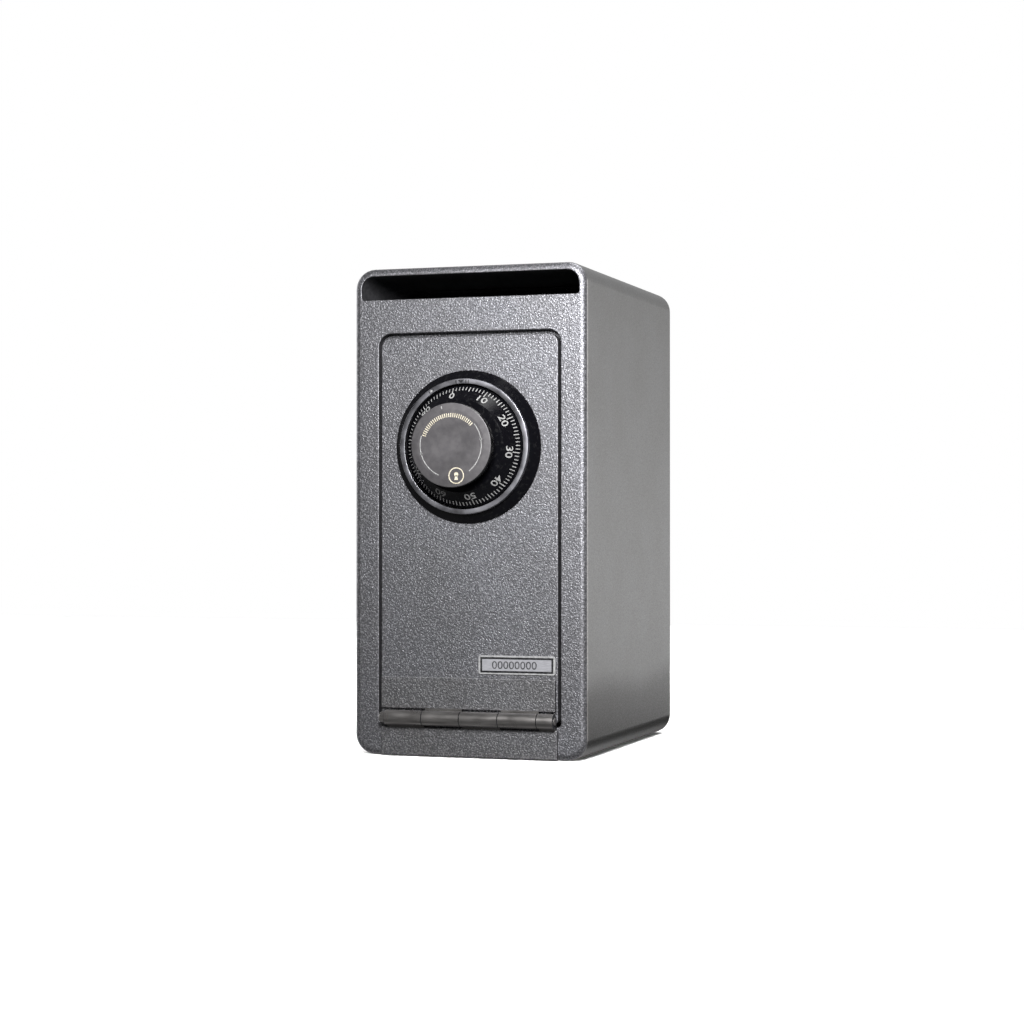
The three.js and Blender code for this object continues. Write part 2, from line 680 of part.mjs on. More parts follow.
function extensionScrew(x) {
  const middle = BOLT_FRONT + BOLT_THICKNESS / 2;
  const seat = EXTENSION_HEAD_SEAT + SEAM;
  return join(
    drillDown(EXTENSION_SCREW_RADIUS, x, middle, EXTENSION_SCREW_FOOT, seat + PAST),
    drillDown(EXTENSION_HEAD_RADIUS, x, middle, seat, EXTENSION_HEAD_TOP),
  );
}

function lever() {
  const back = LEVER_FRONT + LEVER_THICKNESS;
  const top = LEVER_PIVOT_Z + LEVER_ARM_HALF;
  const outline = new THREE.Shape();
  outline.moveTo(LEVER_INNER, LEVER_TOE);
  outline.lineTo(LEVER_OUTER, LEVER_TOE);
  outline.lineTo(LEVER_OUTER, top);
  outline.lineTo(LEVER_HEEL, top);
  outline.lineTo(LEVER_HEEL, LEVER_PIVOT_Z - LEVER_ARM_HALF);
  outline.lineTo(LEVER_INNER, LEVER_PIVOT_Z - LEVER_ARM_HALF);
  outline.closePath();
  const fence = block(
    LEVER_INNER, LEVER_INNER + FENCE_THICKNESS, back - PAST, FENCE_BACK, -FENCE_HALF, FENCE_HALF,
  );
  const seat = LEVER_FRONT + LEVER_HEAD_THICKNESS + SEAM;
  const hole = rod(LEVER_SCREW_RADIUS + SEAM, LEVER_FRONT - PAST, back + PAST, LEVER_PIVOT_X, LEVER_PIVOT_Z);
  const counterbore = rod(LEVER_HEAD_RADIUS + SEAM, LEVER_FRONT - PAST, seat, LEVER_PIVOT_X, LEVER_PIVOT_Z);
  return cut(join(slab(outline, LEVER_FRONT, back), fence), hole, counterbore);
}

function leverScrew() {
  const headBack = LEVER_FRONT + LEVER_HEAD_THICKNESS;
  const head = rod(LEVER_HEAD_RADIUS, LEVER_FRONT, headBack, LEVER_PIVOT_X, LEVER_PIVOT_Z);
  return join(head, rod(LEVER_SCREW_RADIUS, LEVER_FRONT, LEVER_SCREW_TIP, LEVER_PIVOT_X, LEVER_PIVOT_Z));
}

// A torsion spring: a coil behind the lever with one leg lying along the lever's arm.
function leverSpring() {
  const start = LEVER_FRONT + LEVER_THICKNESS + SPRING_WIRE_RADIUS + 2 * SEAM;
  const points = [new THREE.Vector3(SPRING_LEG_X, start, SPRING_LEG_Z)];
  for (let step = 0; step <= SPRING_TURNS * SPRING_STEPS_PER_TURN; step += 1) {
    const angle = (step / SPRING_STEPS_PER_TURN) * 2 * Math.PI;
    points.push(new THREE.Vector3(
      SPRING_X + SPRING_COIL_RADIUS * Math.cos(angle),
      start + (SPRING_PITCH * step) / SPRING_STEPS_PER_TURN,
      SPRING_Z + SPRING_COIL_RADIUS * Math.sin(angle),
    ));
  }
  const wire = new THREE.Shape();
  wire.absarc(0, 0, SPRING_WIRE_RADIUS, 0, 2 * Math.PI, false);
  const extrudePath = new THREE.CatmullRomCurve3(points);
  const options = { steps: SPRING_STEPS, curveSegments: SPRING_SIDES / 2, bevelEnabled: false, extrudePath };
  return new THREE.ExtrudeGeometry(wire, options);
}

// ---------------------------------------------------------------- assembly

function piece(name, geometry, finishName, x = 0, z = 0) {
  const mesh = new THREE.Mesh(geometry, finish(finishName));
  mesh.name = name;
  mesh.position.set(x, 0, z);
  return mesh;
}

function casing() {
  return new THREE.Group().add(
    piece("body_shell", bodyShell(), "paint"),
    piece("back_plate", backPlate(), "paint"),
    piece("front_frame", frontFrame(), "paint"),
    piece("door_stop_left", doorStopSide(-1), "paint"),
    piece("door_stop_right", doorStopSide(1), "paint"),
    piece("door_stop_top", doorStopTop(), "paint"),
    piece("strike_plate", strikePlate(), "steel"),
    piece("chute_ramp", chuteRamp(), "primer"),
    piece("anti_fish_baffle", antiFishBaffle(), "primer"),
    piece("hinge_lower_leaf", hingeLowerLeaf(), "hingeSteel"),
    piece("hinge_pin", hingePin(), "hingeSteel"),
  );
}

function door() {
  return new THREE.Group().add(
    piece("door_plate", doorPlate(), "paint"),
    piece("dead_bar", deadBar(), "paint"),
    piece("hinge_upper_leaf", hingeUpperLeaf(), "hingeSteel"),
    piece("serial_label", serialLabel(), "label"),
  );
}

function dialSet() {
  return new THREE.Group().add(
    piece("dial", dial(), "dialBlack"),
    piece("knob", knob(), "knobBlack"),
    piece("knob_cap", knobCap(), "capGrey"),
    piece("spindle", rod(SPINDLE_RADIUS, SPINDLE_FRONT, SPINDLE_BACK), "steel"),
  );
}

function wheelPack() {
  const pack = new THREE.Group().add(
    piece("drive_cam", driveCam(), "brass"),
    piece("spline_key", splineKey(), "steel"),
    piece("wheel_retaining_clip", retainingClip(), "springSteel"),
  );
  for (let index = 0; index < WHEEL_COUNT; index += 1) {
    const front = FIRST_WHEEL + index * WHEEL_PITCH;
    pack.add(piece(`wheel_${index + 1}`, wheel(front), "brass"));
    if (index + 1 < WHEEL_COUNT) {
      pack.add(piece(`wheel_spacer_${index + 1}`, wheelSpacer(front), "steel"));
    }
  }
  return pack;
}

function boltWork() {
  return new THREE.Group().add(
    piece("lock_bolt", lockBolt(), "brass"),
    piece("bolt_extension", boltExtension(), "steel"),
    piece("extension_screw_left", extensionScrew(-EXTENSION_SCREW_X), "steel"),
    piece("extension_screw_right", extensionScrew(EXTENSION_SCREW_X), "steel"),
    piece("lever", lever(), "brass"),
    piece("lever_screw", leverScrew(), "steel"),
    piece("lever_spring", leverSpring(), "springSteel"),
  );
}

function lockHousing() {
  const housing = new THREE.Group().add(
    piece("dial_ring", dialRing(), "dialBlack"),
    piece("spindle_tube", spindleTube(), "brass"),
    piece("lock_case", lockCase(), "zinc"),
    piece("lock_cover", lockCover(), "zinc"),
  );
  ["left", "right"].forEach((side, index) => {
    const head = rod(RING_HEAD_RADIUS, -DIAL_BACK + SEAM, -RING_FLOOR - SEAM);
    const body = join(head, rod(RING_SCREW_RADIUS, -DIAL_BACK + SEAM, RING_SCREW_TIP));
    const x = (2 * index - 1) * RING_SCREW_X;
    housing.add(piece(`dial_ring_screw_${side}`, body, "steel", x));
  });
  const headFront = COVER_FACE + SEAM;
  mountScrewPoints().forEach(([x, z], index) => {
    const shank = rod(MOUNT_SCREW_RADIUS, MOUNT_SCREW_TIP, headFront + PAST);
    const head = rod(MOUNT_HEAD_RADIUS, headFront, COVER_FACE + MOUNT_HEAD_TOP);
    housing.add(piece(`lock_mount_screw_${index + 1}`, join(shank, head), "steel", x, z));
  });
  coverScrewPoints().forEach(([x, z], index) => {
    const shank = rod(COVER_SCREW_RADIUS, COVER_SCREW_TIP, headFront + PAST);
    const head = rod(COVER_HEAD_RADIUS, headFront, COVER_FACE + COVER_HEAD_TOP);
    housing.add(piece(`cover_screw_${index + 1}`, join(shank, head), "steel", x, z));
  });
  return housing;
}

function lock() {
  const group = new THREE.Group().add(lockHousing(), dialSet(), wheelPack(), boltWork());
  group.position.z = SPINDLE_HEIGHT;
  return group;
}

const front = new THREE.Group().add(casing(), door(), lock());
front.position.y = -CASE_DEPTH / 2;

const safe = new THREE.Group().add(front);

export default safe;
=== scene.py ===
"""The looks of a compact depository safe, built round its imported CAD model.

Lengths in the tables are millimetres. A depth is counted from the face of the door,
positive into the safe, so whatever stands proud of the door has a negative depth.
"""

import json
import math

import bmesh
import bpy
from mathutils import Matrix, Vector


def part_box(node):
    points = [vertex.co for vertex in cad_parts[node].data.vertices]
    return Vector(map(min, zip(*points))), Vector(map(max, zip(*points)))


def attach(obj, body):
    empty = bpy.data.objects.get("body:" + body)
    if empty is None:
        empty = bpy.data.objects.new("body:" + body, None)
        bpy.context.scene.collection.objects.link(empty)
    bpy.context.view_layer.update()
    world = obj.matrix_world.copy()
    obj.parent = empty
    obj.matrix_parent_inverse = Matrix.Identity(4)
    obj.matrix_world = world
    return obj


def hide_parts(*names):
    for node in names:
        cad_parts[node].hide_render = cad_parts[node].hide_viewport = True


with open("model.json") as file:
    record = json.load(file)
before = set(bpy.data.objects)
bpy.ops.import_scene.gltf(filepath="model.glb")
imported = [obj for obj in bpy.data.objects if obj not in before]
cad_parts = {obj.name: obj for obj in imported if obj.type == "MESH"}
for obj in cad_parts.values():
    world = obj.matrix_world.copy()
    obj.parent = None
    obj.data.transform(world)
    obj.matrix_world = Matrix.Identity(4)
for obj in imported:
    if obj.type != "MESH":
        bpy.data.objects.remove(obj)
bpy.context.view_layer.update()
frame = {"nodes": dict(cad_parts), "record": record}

MM = 0.001
PAST = 1.0  # how far a cutting shape runs past the face that it meets
LEAST_RADIUS = 0.02
DRILL_STEPS = 32
SAME_PLACE = 1e-7  # metres within which two points of a new mesh are one
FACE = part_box("door_plate")[0].y
AXIS_Z = sum(corner.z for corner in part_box("dial")) / 2 / MM
BODY_OF = {n: b for b, ns in frame["record"]["behaviour"]["bodies"].items() for n in ns}
SLOT_OF = {part["node"]: part["material_slot"] for part in frame["record"]["subparts"]}


def at(x, depth, z):
    return Vector((x * MM, FACE + depth * MM, z * MM))


def in_mm(point):
    """x, depth and z of a point of the scene."""
    return point.x / MM, (point.y - FACE) / MM, point.z / MM


def extent(node):
    """x0, x1, depth0, depth1, z0, z1 of a CAD node in millimetres."""
    lo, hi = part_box(node)
    return [v / MM for v in (lo.x, hi.x, lo.y - FACE, hi.y - FACE, lo.z, hi.z)]


# ------------------------------------------------------------------ meshes


def link(mesh, name):
    piece = bpy.data.objects.new(name, mesh)
    bpy.context.scene.collection.objects.link(piece)
    return piece


def from_bmesh(bm, name):
    mesh = bpy.data.meshes.new(name)
    bmesh.ops.recalc_face_normals(bm, faces=bm.faces[:])
    bm.to_mesh(mesh)
    bm.free()
    return link(mesh, name)


def loft(name, loops):
    """A closed skin over loops of points, with a flat end on the first and the last."""
    bm = bmesh.new()
    rows = [[bm.verts.new(p) for p in loop] for loop in loops]
    count = len(rows[0])
    for low, high in zip(rows, rows[1:]):
        for i in range(count):
            j = (i + 1) % count
            bm.faces.new((low[i], low[j], high[j], high[i]))
    bm.faces.new(rows[0])
    bm.faces.new(rows[-1])
    return from_bmesh(bm, name)


def circle(a, b, radius, steps=20):
    """Points round a centre, in whichever two directions a and b are."""
    turns = [2 * math.pi * i / steps for i in range(steps)]
    return [(a + radius * math.cos(turn), b + radius * math.sin(turn)) for turn in turns]


def outline(x0, x1, z0, z1, top, foot, steps=8):
    """A rounded rectangle, with its own corner radius at the top and at the foot."""
    corners = (
        (x1 - foot, z0 + foot, foot, -90),
        (x1 - top, z1 - top, top, 0),
        (x0 + top, z1 - top, top, 90),
        (x0 + foot, z0 + foot, foot, 180),
    )
    points = []
    for x, z, radius, start in corners:
        for step in range(steps + 1):
            turn = math.radians(start + 90 * step / steps)
            points.append((x + radius * math.cos(turn), z + radius * math.sin(turn)))
    return points


def edge_turn(radius, steps=4):
    """(inset, depth) pairs round an edge, from the face to the side."""
    for step in range(steps + 1):
        turn = math.pi / 2 * step / steps
        yield radius * (1 - math.sin(turn)), radius * (1 - math.cos(turn))


def inset_loop(rect, top, foot, inset, depth):
    """A rounded rectangle at a depth, drawn in by an inset that its corners follow."""
    x0, x1, z0, z1 = rect
    top_radius = max(top - inset, LEAST_RADIUS)
    foot_radius = max(foot - inset, LEAST_RADIUS)
    points = outline(x0 + inset, x1 - inset, z0 + inset, z1 - inset, top_radius, foot_radius)
    return [at(x, depth, z) for x, z in points]


def slab(name, rect, top, foot, front, back, front_edge, back_edge):
    """A plate standing in x and z, with rounded edges round its two faces."""
    loops = [inset_loop(rect, top, foot, i, front + d) for i, d in edge_turn(front_edge)]
    rear = [inset_loop(rect, top, foot, i, back - d) for i, d in edge_turn(back_edge)]
    return loft(name, loops + rear[::-1])


def mouth(rect, top, foot, front, back, edge):
    """A cutting shape whose opening flares out to a rounded edge at the front."""
    loops = [inset_loop(rect, top, foot, -edge, front - PAST)]
    loops += [inset_loop(rect, top, foot, -i, front + d) for i, d in edge_turn(edge)]
    loops.append(inset_loop(rect, top, foot, 0, back))
    return loft("cutter", loops)


def lathe(name, profile, steps=96, radius_at=None, x=0.0, z=None):
    """Turns a (radius, height proud of the door) profile about an axis along y."""
    centre_z = AXIS_Z if z is None else z
    on_axis = profile[0][0] == 0 and profile[-1][0] == 0
    bm = bmesh.new()
    rows = []
    for step in range(steps):
        turn = 2 * math.pi * step / steps
        row = []
        for radius, height in profile:
            r = radius_at(radius, height, turn) if radius_at else radius
            row.append(bm.verts.new(at(x + r * math.sin(turn), -height, centre_z + r * math.cos(turn))))
        rows.append(row)
    count = len(profile)
    for low, high in zip(rows, rows[1:] + rows[:1]):
        for i in range(count - 1 if on_axis else count):
            j = (i + 1) % count
            bm.faces.new((low[i], low[j], high[j], high[i]))
    bmesh.ops.remove_doubles(bm, verts=bm.verts[:], dist=SAME_PLACE)
    return from_bmesh(bm, name)


def prism(name, profile, x0, x1):
    """Runs a (depth, z) profile across from x0 to x1."""
    return loft(name, [[at(x, depth, z) for depth, z in profile] for x in (x0, x1)])


def drill(radius, x, z, front, back):
    """A round cutting shape that runs in from the front."""
    points = circle(x, z, radius, DRILL_STEPS)
    return loft("cutter", [[at(across, depth, up) for across, up in points] for depth in (front, back)])


def drill_down(radius, x, depth, z0, z1):
    """A round cutting shape that runs upright."""
    points = circle(x, depth, radius, DRILL_STEPS)
    return loft("cutter", [[at(across, deep, z) for across, deep in points] for z in (z0, z1)])


def settle(piece):
    """Turns a piece's modifiers into its mesh."""
    shape = piece.evaluated_get(bpy.context.evaluated_depsgraph_get())
    mesh = bpy.data.meshes.new_from_object(shape)
    old = piece.data
    piece.modifiers.clear()
    piece.data = mesh
    bpy.data.meshes.remove(old)


def combine(piece, operation, others):
    """Joins other closed shapes to a piece or cuts them from it, and removes them."""
    for other in others:
        modifier = piece.modifiers.new("combine", "BOOLEAN")
        modifier.operation = operation
        modifier.solver = "EXACT"
        modifier.object = other
    settle(piece)
    for other in others:
        bpy.data.objects.remove(other)
    return piece


def carve(piece, *cutters):
    return combine(piece, "DIFFERENCE", cutters)


def weld(piece, *others):
    return combine(piece, "UNION", others)


def bevel(piece, width, angle=35):
    """Breaks the edges that turn by more than an angle in degrees."""
    modifier = piece.modifiers.new("bevel", "BEVEL")
    modifier.width = width * MM
    modifier.segments = 2
    modifier.limit_method = "ANGLE"
    modifier.angle_limit = math.radians(angle)
    modifier.use_clamp_overlap = True
    settle(piece)
    return piece


def smooth(piece, angle=32):
    """Shades a piece smooth, apart from the edges that turn by more than an angle in degrees."""
    bm = bmesh.new()
    bm.from_mesh(piece.data)
    bmesh.ops.remove_doubles(bm, verts=bm.verts[:], dist=2e-6)
    bmesh.ops.dissolve_degenerate(bm, edges=bm.edges[:], dist=SAME_PLACE)
    for face in bm.faces:
        face.smooth = True
    for edge in bm.edges:
        edge.smooth = len(edge.link_faces) == 2 and edge.calc_face_angle(0) < math.radians(angle)
    bm.to_mesh(piece.data)
    bm.free()
    modifier = piece.modifiers.new("normals", "WEIGHTED_NORMAL")
    modifier.keep_sharp = True
    modifier.weight = 90
    return piece


def place(piece, body, slot, *replaced, skin=None):
    """Rides a finished piece on its body, with its finish and the nodes that it stands for."""
    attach(piece, body)
    if replaced:
        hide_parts(*replaced)
    piece.data.materials.clear()
    piece.data.materials.append(skin or FINISH[slot])
    return piece


def dressed(node, width):
    """A copy of a CAD node with its flats merged and its edges broken."""
    bm = bmesh.new()
    bm.from_mesh(frame["nodes"][node].data)
    bmesh.ops.remove_doubles(bm, verts=bm.verts[:], dist=1e-6)
    bmesh.ops.dissolve_limit(
        bm,
        angle_limit=math.radians(0.6),
        verts=bm.verts[:],
        edges=bm.edges[:],
        use_dissolve_boundaries=False,
    )
    piece = from_bmesh(bm, node + "_dressed")
    bevel(piece, width)
    smooth(piece)
    return place(piece, BODY_OF[node], SLOT_OF[node], node)


# ------------------------------------------------------------------ finishes


def new_material(name, **sockets):
    mat = bpy.data.materials.new(name)
    mat.use_nodes = True
    shader = mat.node_tree.nodes["Principled BSDF"]
    for socket, value in sockets.items():
        shader.inputs[socket.replace("_", " ")].default_value = value
    return mat, mat.node_tree, shader


def coords(tree, output="Object"):
    for node in tree.nodes:
        if node.bl_idname == "ShaderNodeTexCoord":
            return node.outputs[output]
    return tree.nodes.new("ShaderNodeTexCoord").outputs[output]


def noise(tree, scale, detail=2.0, distortion=0.0, stretch=None, roughness=0.5):
    node = tree.nodes.new("ShaderNodeTexNoise")
    node.inputs["Scale"].default_value = scale
    node.inputs["Detail"].default_value = detail
    node.inputs["Roughness"].default_value = roughness
    node.inputs["Distortion"].default_value = distortion
    source = coords(tree)
    if stretch:
        mapping = tree.nodes.new("ShaderNodeMapping")
        mapping.inputs["Scale"].default_value = stretch
        tree.links.new(source, mapping.inputs["Vector"])
        source = mapping.outputs["Vector"]
    tree.links.new(source, node.inputs["Vector"])
    return node.outputs["Fac"]


def pebbles(tree, scale):
    """Distance to the middle of small cells whose outlines wander, as in a wrinkled coat."""
    wander = tree.nodes.new("ShaderNodeTexNoise")
    wander.inputs["Scale"].default_value = scale
    tree.links.new(coords(tree), wander.inputs["Vector"])
    shift = tree.nodes.new("ShaderNodeVectorMath")
    shift.operation = "MULTIPLY_ADD"
    shift.inputs[1].default_value = (1.1 / scale,) * 3
    tree.links.new(wander.outputs["Color"], shift.inputs[0])
    tree.links.new(coords(tree), shift.inputs[2])
    cells = tree.nodes.new("ShaderNodeTexVoronoi")
    cells.feature = "SMOOTH_F1"
    cells.inputs["Scale"].default_value = scale
    cells.inputs["Smoothness"].default_value = 0.5
    tree.links.new(shift.outputs["Vector"], cells.inputs["Vector"])
    return cells.outputs["Distance"]


def math_node(tree, operation, a, b=None):
    node = tree.nodes.new("ShaderNodeMath")
    node.operation = operation
    for socket, value in zip(node.inputs, (a, b)):
        if isinstance(value, (int, float)):
            socket.default_value = value
        elif value is not None:
            tree.links.new(value, socket)
    return node.outputs["Value"]


def spread(tree, value, low, high, out_low, out_high):
    """Eases from one number to another while a value goes from low to high."""
    node = tree.nodes.new("ShaderNodeMapRange")
    node.interpolation_type = "SMOOTHSTEP"
    ends = {"From Min": low, "From Max": high, "To Min": out_low, "To Max": out_high}
    for name, number in ends.items():
        node.inputs[name].default_value = number
    tree.links.new(value, node.inputs["Value"])
    return node.outputs["Result"]


def blend(tree, factor, first, second, mode="MIX"):
    node = tree.nodes.new("ShaderNodeMix")
    node.data_type = "RGBA"
    node.blend_type = mode
    slots = {"Factor": node.inputs[0], "A": node.inputs[6], "B": node.inputs[7]}
    for name, value in (("Factor", factor), ("A", first), ("B", second)):
        if isinstance(value, bpy.types.NodeSocket):
            tree.links.new(value, slots[name])
        elif isinstance(value, (int, float)):
            slots[name].default_value = value
        else:
            slots[name].default_value = (*value, 1.0)
    return node.outputs[2]


def relief(tree, shader, height, strength, distance):
    node = tree.nodes.new("ShaderNodeBump")
    node.inputs["Distance"].default_value = distance
    if isinstance(strength, bpy.types.NodeSocket):
        tree.links.new(strength, node.inputs["Strength"])
    else:
        node.inputs["Strength"].default_value = strength
    tree.links.new(height, node.inputs["Height"])
    tree.links.new(node.outputs["Normal"], shader.inputs["Normal"])


def facing(tree, axis, low, high):
    """0 to 1 as the part of the normal along an axis of the object goes from low to high."""
    parts = tree.nodes.new("ShaderNodeSeparateXYZ")
    tree.links.new(coords(tree, "Normal"), parts.inputs["Vector"])
    return spread(tree, parts.outputs[axis], low, high, 0.0, 1.0)


PAINT_RELIEF = 0.00012  # metres from the bottom to the top of the wrinkle
PAINT_METAL = 0.92
SIDE_GRAIN = 0.3  # share of the wrinkle that faces other than the front keep
EVEN = (1, 1, 1)  # grain that isn't drawn out in any direction


def wrinkle_paint(name, dark, light, grain=1.0, rough=0.36, coat=0.0):
    """Grey powder coat with a fine wormy wrinkle, bolder on the front than on the sides.

    It is painted darker towards the foot of the sides, a painted shade that stands in for the dark
    reflection of the shadowed floor beside the safe. Where it faces up it is duller and painted darker, a
    painted shade that tones down the key light's glare on the top. Its colour follows the wrinkle's
    height, partly a painted shade of the relief.
    """
    mat, tree, shader = new_material(name, IOR=1.5, Coat_Roughness=0.14)
    link_up = tree.links.new
    ridges = spread(tree, pebbles(tree, 760), 0.08, 0.62, 1.0, 0.0)
    specks = spread(tree, noise(tree, 1400, 2.0, 0.4), 0.36, 0.64, 0.0, 1.0)
    height = blend(tree, 0.4, ridges, specks)
    side = facing(tree, "Y", -0.75, -0.25)
    top = facing(tree, "Z", 0.94, 1.0)
    strength = spread(tree, side, 0.0, 1.0, grain, SIDE_GRAIN)
    relief(tree, shader, height, strength, PAINT_RELIEF)

    # partly painted shade: the colour follows the wrinkle's height, dark in its hollows and light on its
    # crests, standing in for the shading of the relief; the specks mixed in are the coat's own flecks
    middle = tuple((a + b) / 2 for a, b in zip(dark, light))
    base = blend(tree, strength, middle, blend(tree, height, dark, light))
    clouds = spread(tree, noise(tree, 26, 3.0, 0.3), 0.3, 0.7, 0.0, 1.0)
    tint = blend(tree, clouds, (0.78, 0.76, 0.74), (1.0, 1.0, 1.02))
    base = blend(tree, 0.35, base, tint, "MULTIPLY")

    # painted shade: the foot of the sides is painted darker, standing in for the dark reflection of the
    # shadowed floor beside the safe
    parts = tree.nodes.new("ShaderNodeSeparateXYZ")
    link_up(coords(tree), parts.inputs["Vector"])
    wander = math_node(tree, "MULTIPLY", noise(tree, 9, 2.0), 0.02)
    rise = math_node(tree, "SUBTRACT", parts.outputs["Z"], wander)
    foot = spread(tree, rise, 0.022, 0.044, 1.0, 0.0)
    base = blend(tree, math_node(tree, "MULTIPLY", foot, side), base, (0.45, 0.44, 0.435), "MULTIPLY")
    # painted shade: faces that look up are painted darker to tone down the key light's glare on the top
    base = blend(tree, top, base, (0.6, 0.6, 0.6), "MULTIPLY")
    link_up(base, shader.inputs["Base Color"])

    speckled = spread(tree, specks, 0.0, 1.0, rough + 0.08, rough - 0.06)
    dulled = math_node(tree, "ADD", speckled, math_node(tree, "MULTIPLY", top, 0.34))
    link_up(dulled, shader.inputs["Roughness"])
    link_up(spread(tree, top, 0.0, 1.0, PAINT_METAL, 0.0), shader.inputs["Metallic"])
    if coat:
        link_up(spread(tree, top, 0.0, 1.0, coat, 0.0), shader.inputs["Coat Weight"])
    return mat


def brushed(name, dark, light, rough, metal=1.0, scale=120, stretch=(1, 1, 14), bump=0.15):
    """Metal with fine drawn streaks and a little colour variation."""
    mat, tree, shader = new_material(name, Metallic=metal, IOR=1.5)
    streaks = noise(tree, scale, 4.0, 0.1, stretch)
    blotch = noise(tree, 70, 2.0, 0.3)
    base = blend(tree, spread(tree, streaks, 0.3, 0.7, 0.0, 1.0), dark, light)
    base = blend(tree, 0.3, base, blend(tree, blotch, (0.8, 0.8, 0.8), (1.0, 1.0, 1.0)), "MULTIPLY")
    tree.links.new(base, shader.inputs["Base Color"])
    worn = spread(tree, blotch, 0.3, 0.7, rough - 0.07, rough + 0.09)
    tree.links.new(worn, shader.inputs["Roughness"])
    relief(tree, shader, streaks, bump, 0.00008)
    return mat


def gloss(name, colour, worn, rough, specular=0.5):
    """Moulded or lacquered black with a faint ripple, dust and fine handling marks."""
    mat, tree, shader = new_material(name, Metallic=0.0, IOR=1.5)
    shader.inputs["Specular IOR Level"].default_value = specular
    scuffs = spread(tree, noise(tree, 420, 5.0, 0.6), 0.52, 0.75, 0.0, 1.0)
    ripple = noise(tree, 90, 1.0)
    tree.links.new(blend(tree, scuffs, colour, worn), shader.inputs["Base Color"])
    tree.links.new(spread(tree, scuffs, 0.0, 1.0, rough, rough + 0.16), shader.inputs["Roughness"])
    relief(tree, shader, ripple, 0.06, 0.0002)
    return mat


def matt(name, dark, light, rough, bump=0.3):
    """Flat paint or ink with a fine fleck."""
    mat, tree, shader = new_material(name, Metallic=0.0, IOR=1.45)
    fleck = noise(tree, 500, 3.0, 0.2)
    base = blend(tree, spread(tree, fleck, 0.35, 0.65, 0, 1), dark, light)
    tree.links.new(base, shader.inputs["Base Color"])
    uneven = spread(tree, fleck, 0.3, 0.7, rough - 0.06, rough + 0.08)
    tree.links.new(uneven, shader.inputs["Roughness"])
    relief(tree, shader, fleck, bump, 0.0001)
    return mat


FINISH = {
    "paint": wrinkle_paint("paint", (0.15, 0.15, 0.161), (0.51, 0.51, 0.545), rough=0.48),
    "chute_black": matt("chute_black", (0.03, 0.03, 0.034), (0.055, 0.055, 0.06), 0.78),
    "hinge_steel": wrinkle_paint("hinge_steel", (0.15, 0.149, 0.157), (0.49, 0.487, 0.505), rough=0.48),
    "steel": brushed("steel", (0.5, 0.5, 0.51), (0.72, 0.72, 0.72), 0.3),
    "spring_steel": brushed("spring_steel", (0.28, 0.29, 0.31), (0.42, 0.43, 0.45), 0.32),
    "zinc": brushed("zinc", (0.27, 0.27, 0.262), (0.35, 0.35, 0.34), 0.62, 0.25, 420, EVEN, 0.2),
    "brass": brushed("brass", (0.55, 0.39, 0.14), (0.78, 0.6, 0.28), 0.3),
    "dial_black": gloss("dial_black", (0.004, 0.004, 0.0055), (0.012, 0.012, 0.013), 0.2, 0.16),
    "knob_black": gloss("knob_black", (0.006, 0.006, 0.0065), (0.018, 0.018, 0.018), 0.14),
    "cap_grey": brushed(
        "cap_grey", (0.13, 0.124, 0.131), (0.163, 0.156, 0.162), 0.46, 0.55, 260, EVEN, 0.06
    ),
    "satin_rim": brushed("satin_rim", (0.38, 0.38, 0.415), (0.54, 0.54, 0.58), 0.34, 1.0, 200, EVEN, 0.1),
    "mark_white": matt("mark_white", (0.35, 0.35, 0.345), (0.48, 0.48, 0.475), 0.5, bump=0.1),
    "label": brushed("label", (0.365, 0.365, 0.392), (0.47, 0.47, 0.502), 0.4, 0.1, 300, (1, 1, 8), 0.1),
}
SMOOTH_PAINT = wrinkle_paint("smooth_paint", (0.15, 0.15, 0.151), (0.51, 0.51, 0.513), grain=0.3, coat=0.6)
BARREL = brushed(
    "hinge_barrel", (0.22, 0.21, 0.205), (0.38, 0.366, 0.358), 0.31, 0.85, 420, (0.1, 1, 1), 0.25
)
CREAM = matt("mark_cream", (0.62, 0.56, 0.42), (0.8, 0.74, 0.6), 0.45, bump=0.1)
MARK_BLACK = matt("mark_black", (0.01, 0.01, 0.012), (0.03, 0.03, 0.032), 0.45, bump=0.1)
LABEL_EDGE = matt("label_edge", (0.36, 0.36, 0.365), (0.48, 0.48, 0.485), 0.42, bump=0.1)
LABEL_INK = matt("label_ink", (0.05, 0.05, 0.055), (0.11, 0.11, 0.115), 0.5, bump=0.1)

# ------------------------------------------------------------------ casing and door

EDGE = 4.0  # rounding of the casing's front edge
REAR_EDGE = 0.6
OPENING_EDGE = 0.7
SLOT_EDGE = 0.5
WALL = 4.76
CORNER = 12.7
PLATE = 6.35

CASE_X0, CASE_X1, _, CASE_BACK, CASE_Z0, CASE_Z1 = extent("body_shell")
SLOT_FLOOR = extent("front_frame")[5]
DOOR_X0, DOOR_X1, _, _, DOOR_Z0, DOOR_Z1 = extent("door_plate")
DOOR_GAP = 1.6
DOOR_HEADROOM = 2.6
OPENING_FOOT = 2.2
OPENING_CORNER = 8.0
DOOR_CORNER = 6.0
FOOT_CORNER = 2.0
ANCHOR = 5.5
ANCHOR_X = 38.0
ANCHOR_END = 45.0
CREASE_X = 63.0  # where the frame meets the folded edge of the shell
CREASES = ((CREASE_X, 229.0), (-CREASE_X, 262.0))
# painted shade: past this depth the casing's inner faces are painted black
SHADE_PAINT_DEPTH = 1.2  # how far in the paint of the front reaches


def crease(x, foot):
    """A shallow vee that starts under the slot and fades out at the height of its foot."""
    half, proud = 0.5, -0.2
    ends = ((0.32, SLOT_FLOOR - 1.2), (-0.12, foot))
    loops = [[at(x - half, proud, z), at(x + half, proud, z), at(x, deepest, z)] for deepest, z in ends]
    return loft("cutter", loops)


